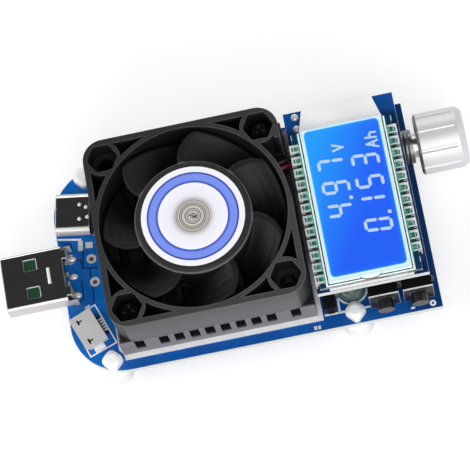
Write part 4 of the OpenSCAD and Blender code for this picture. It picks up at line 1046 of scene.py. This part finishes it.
# Tinned pads as (x, y, length, width, turn in degrees)
PADS = (
    (-25.5, 5.3, 1.0, 2.2, -9), (-23.7, 5.1, 1.5, 1.3, -9), (-22.2, 7.2, 0.7, 0.6, 0),
    (19.05, -22.3, 0.6, 0.75, 0), (19.85, -22.3, 0.6, 0.75, 0),
    (-26.1, -8.1, 1.1, 0.5, 21.5), (-27.75, -9.9, 2.4, 1.0, 21.5), (-24.8, -17.3, 2.4, 1.0, 21.5),
    (-20.3, -17.0, 0.5, 0.4, 0))
PAD_T = 0.05


def ring_path(x, y, d, steps=40):
    """Closed round path of diameter d."""
    turns = [2 * math.pi * i / steps for i in range(steps)]
    path = [(x + d / 2 * math.cos(t), y + d / 2 * math.sin(t)) for t in turns]
    return tuple(path + path[:1])


def metres(sizes):
    """Sizes in mm, as metres."""
    return tuple(size * MM for size in sizes)


def flat_pads():
    """Mesh of the tinned pads."""
    outlines = []
    for x, y, length, width, turn in PADS:
        ca, sa = math.cos(math.radians(turn)), math.sin(math.radians(turn))
        corners = []
        for u, v in SQUARE:
            dx, dy = u * length / 2, v * width / 2
            place = spot(x + dx * ca - dy * sa, y + dx * sa + dy * ca)
            corners.append((place.x, place.y))
        outlines.append(corners)
    return prisms(outlines, BOARD_TOP, BOARD_TOP + PAD_T * MM)


def add_board_detail(white, copper, tin, flux):
    """White print, traces under the mask, tinned pads and solder."""
    strips, domes, rings = strip_recipe(), dome_recipe(), ring_recipe()
    led = (middle("led_lens") - FAN_AXIS) / MM
    printed = lines(
        MICRO_FRAME, DIODE_LINE, FRONT_LINE, PORT_LINE, CORNER_MARK,
        ring_path(led.x, led.y, LED_RING_D), ring_path(*CORNER_RING))
    strips.make("board_print", *printed, white, "label_white",
                Width=PRINT_W * MM, Height=2 * PRINT_T * MM)
    strips.make("board_traces", *lines(*TRACES), copper, "board_blue",
                Width=TRACE_W * MM, Height=TRACE_T * MM)
    add_piece("tinned_pads", flat_pads(), tin)
    rings.make("plated_holes", [spot(*hole) for hole in WIRE_HOLES], [], tin, "tinned_pins",
               Radius=RING_D / 2 * MM, Width=RING_W * MM, Height=RING_T * MM)
    fillings = [
        [spot(u, v).xy for u, v in ring_path(*hole, FILLING_D)[:-1]] for hole in WIRE_HOLES]
    add_piece("hole_filling", prisms(fillings, BOARD_UNDER, BOARD_TOP - FILLING_DEPTH * MM),
              flux)
    pins = [(low + high) / 2 for low, high in solids("header_pins")]
    leads = pins + [
        (low + high) / 2 for low, high in solids("pot_terminals") + solids("led_leads")]
    for low, high in solids("switch_brackets"):
        for x in (low.x + LEG_FROM_SIDE * MM, high.x - LEG_FROM_SIDE * MM):
            leads.append(Vector((x, high.y - LEG_FROM_BACK * MM, 0)))
    above = [Vector((pin.x, pin.y, DISPLAY_TOP)) for pin in pins]
    below = [Vector((lead.x, lead.y, BOARD_UNDER)) for lead in leads]
    domes.make("solder_joints", above + below, [], tin, "tinned_pins", Size=metres(JOINT_SIZE))
    domes.make("plug_solder", [spot(*tail) for tail in PLUG_TAILS], [], tin, "tinned_pins",
               Size=metres(PLUG_TAIL_SIZE))
    cap = END_CAP / 2 * MM
    ends = [
        [(low.x, y - cap), (high.x, y - cap), (high.x, y + cap), (low.x, y + cap)]
        for low, high in solids("chip_resistors") for y in (low.y, high.y)]
    cap_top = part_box("chip_resistors")[1].z + END_CAP_T * MM
    add_piece("resistor_ends", prisms(ends, BOARD_TOP, cap_top), tin)
    domes.make("shell_welds", [spot(*weld) for weld in WELDS], [], tin, "nickel_shell",
               Size=metres(WELD_SIZE))


# Control, indicator and display glass

BUSHING_FLANGE = 0.8
THREAD_R = 3.35
THREAD_PITCH = 0.75
THREAD_RIDGE = 0.28
THREAD_STOP = 0.2
# Cup and post of the indicator, as (radius, height above the board)
INDICATOR_CORE = (
    (0, 1.2), (1.0, 1.2), (1.0, 3.4), (1.5, 4.6), (1.25, 4.6), (0.6, 3.7), (0, 3.7))
SEAL_AT = (32.3, -18.75)
SEAL_W = 4.2
SEAL_OUT = 0.7
SEAL_H = 0.7
SEAL_INSET = 0.2
SEAL_LINE_W = 0.18
SEAL_LINE_T = 0.06
SEAL_STEPS = 16


def add_bushing_thread(metal):
    """Thread of the control bushing, from its flange to the knob."""
    low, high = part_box("pot_bushing")
    centre = middle("pot_bushing")
    start = (low.x + BUSHING_FLANGE * MM, centre.y, centre.z)
    length = (high.x - low.x) / MM - BUSHING_FLANGE - THREAD_STOP
    thread_recipe().make(
        "bushing_thread", [start], [], metal, "steel", Radius=THREAD_R * MM,
        Turns=length / THREAD_PITCH, Length=length * MM, Ridge=THREAD_RIDGE * MM)


def add_indicator_core(metal):
    """Cup and post inside the clear indicator."""
    lens = middle("led_lens")
    core = revolved(INDICATOR_CORE, Vector((lens.x, lens.y, BOARD_TOP)))
    add_piece("indicator_core", core, metal)


def add_end_seal(resin, dark):
    """Resin seal on the front edge of the glass, with a painted shadow line round its foot."""
    level = (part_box("lcd_rear_glass")[1].z - BOARD_TOP) / MM
    x, y = SEAL_AT
    turns = [math.pi * (1 + i / SEAL_STEPS) for i in range(SEAL_STEPS + 1)]
    foot = tuple(
        (x + SEAL_W / 2 * math.cos(t), y + SEAL_OUT * math.sin(t), level) for t in turns)
    # Painted shadow: a dark strip round the foot of the seal
    strip_recipe().make("seal_shadow_line", *lines(foot), dark, "display_glass",
                        Width=SEAL_LINE_W * MM, Height=SEAL_LINE_T * MM)
    dome_recipe().make("glass_end_seal", [spot(x, y, level)], [], resin, "display_glass",
                       Size=metres((SEAL_W - SEAL_INSET, 2 * SEAL_OUT - SEAL_INSET, SEAL_H)))


def dress():
    """Finishes of the solids, and the pieces that are added to them."""
    black = moulded("black_plastic", (0.006, 0.006, 0.007), 0.4,
                    worn=(0.03, 0.03, 0.03), Specular_IOR_Level=0.3)
    tin = plated("tin_plate", (0.93, 0.93, 0.92), 0.4, metal=0.45)
    gold = plated("gold_flash", (0.78, 0.6, 0.28), 0.22)
    bushing = plated("bushing_metal", (0.22, 0.215, 0.22), 0.35)
    resin = glass_finish("seal_resin", (0.93, 0.95, 0.96), rough=0.1, clear=0.1)
    finishes = {
        board_finish("main_mask", knob_shade=0.75): ("main_board",),
        board_finish("display_mask", knob_shade=0.1, shadow_to=15.5): ("display_board",),
        nylon_finish(): ("board_feet",),
        pad_finish(): ("thermal_pad",),
        extrusion_finish(): ("heatsink",),
        fan_finish(): ("fan_frame",),
        rotor_finish(): ("fan_rotor",),
        label_finish(): ("hub_label",),
        plated("sintered_bronze", (0.5, 0.32, 0.16), 0.45): ("fan_bearing",),
        plated("core_laminations", (0.42, 0.43, 0.45), 0.4, stretch=(40, 40, 1), relief=0.02):
            ("fan_stator",),
        plated("copper_winding", (0.6, 0.26, 0.12), 0.35,
               stretch=(1, 1, 20), size=0.25, relief=0.03): ("stator_coils",),
        moulded("green_mask", (0.02, 0.16, 0.06), 0.3): ("fan_circuit_board",),
        moulded("ferrite", (0.05, 0.047, 0.045), 0.6): ("fan_magnet",),
        moulded("black_oxide", (0.003, 0.003, 0.003), 0.14, grain=0.6, relief=0.12):
            ("fan_screws",),
        moulded("red_insulation", (0.34, 0.02, 0.03), 0.32): ("fan_wire_red",),
        moulded("black_insulation", (0.018, 0.018, 0.018), 0.32): ("fan_wire_black",),
        moulded("connector_nylon", (0.8, 0.78, 0.72), 0.4): ("fan_plug", "fan_socket"),
        moulded("switch_plastic", (0.004, 0.004, 0.0045), 0.5, Specular_IOR_Level=0.1):
            ("switch_bodies",),
        black: ("display_headers", "control_chip", "power_transistor", "shunt_resistor",
                "clamp_diode", "chip_resistors", "usb_c_tongue", "micro_usb_tongue"),
        moulded("light_guide", (0.88, 0.88, 0.88), 0.35): ("lcd_backlight",),
        ledge_finish(): ("lcd_rear_glass",),
        glow_finish("lit_glass_edge", (0.7, 0.86, 0.93), (0.58, 0.78, 0.88),
                    strength=0.5, own=0.5): ("lcd_front_glass",),
        film_finish(): ("lcd_polariser",),
        pin_finish(): ("lcd_pins",),
        # Painted light: a paler, less metallic copy of the tin for the contacts that lie in shade
        plated("bright_tin", (0.97, 0.97, 0.96), 0.5, metal=0.15): ("micro_usb_contacts",),
        tin: ("usb_a_contacts", "pot_terminals", "led_leads"),
        bracket_finish(): ("switch_brackets",),
        nickel_finish(): ("usb_a_shell", "usb_c_shell"),
        brushed_finish(): ("micro_usb_shell",),
        moulded("green_insulator", (0.012, 0.06, 0.028), 0.3): ("usb_a_insulator",),
        gold: ("header_pins", "usb_c_contacts"),
        plated("plated_steel", (0.56, 0.56, 0.57), 0.3): (
            "rotor_yoke", "fan_shaft", "fan_screw_nuts", "switch_domes", "pot_shaft",
            "transistor_tab"),
        moulded("control_body", (0.03, 0.11, 0.06), 0.4): ("pot_body",),
        bushing: ("pot_bushing",),
        knob_finish(): ("knob",),
        moulded("button_plastic", (0.0055, 0.0045, 0.0045), 0.36, worn=(0.025, 0.021, 0.02)):
            ("button_left", "button_right"),
        glass_finish("clear_resin", (0.38, 0.52, 0.43), rough=0.06, clear=0.65): ("led_lens",),
    }
    for finish, names in finishes.items():
        for name in names:
            for place in frame["nodes"][name].material_slots:
                place.material = finish
    white = moulded("white_print", (0.95, 0.96, 0.97), 0.5)
    copper = moulded("covered_copper", (0.001, 0.03, 0.15), 0.3)
    flux = moulded("flux_residue", (0.16, 0.1, 0.08), 0.4)
    add_board_detail(white, copper, tin, flux)
    add_readout(
        glow_finish("lit_figures", (0.48, 0.64, 0.88), (0.4, 0.56, 0.84), strength=1.0))
    add_bushing_thread(bushing)
    add_indicator_core(gold)
    add_end_seal(resin, moulded("seal_shadow", (0.12, 0.11, 0.13), 0.4))


set_camera()
set_studio()
dress()
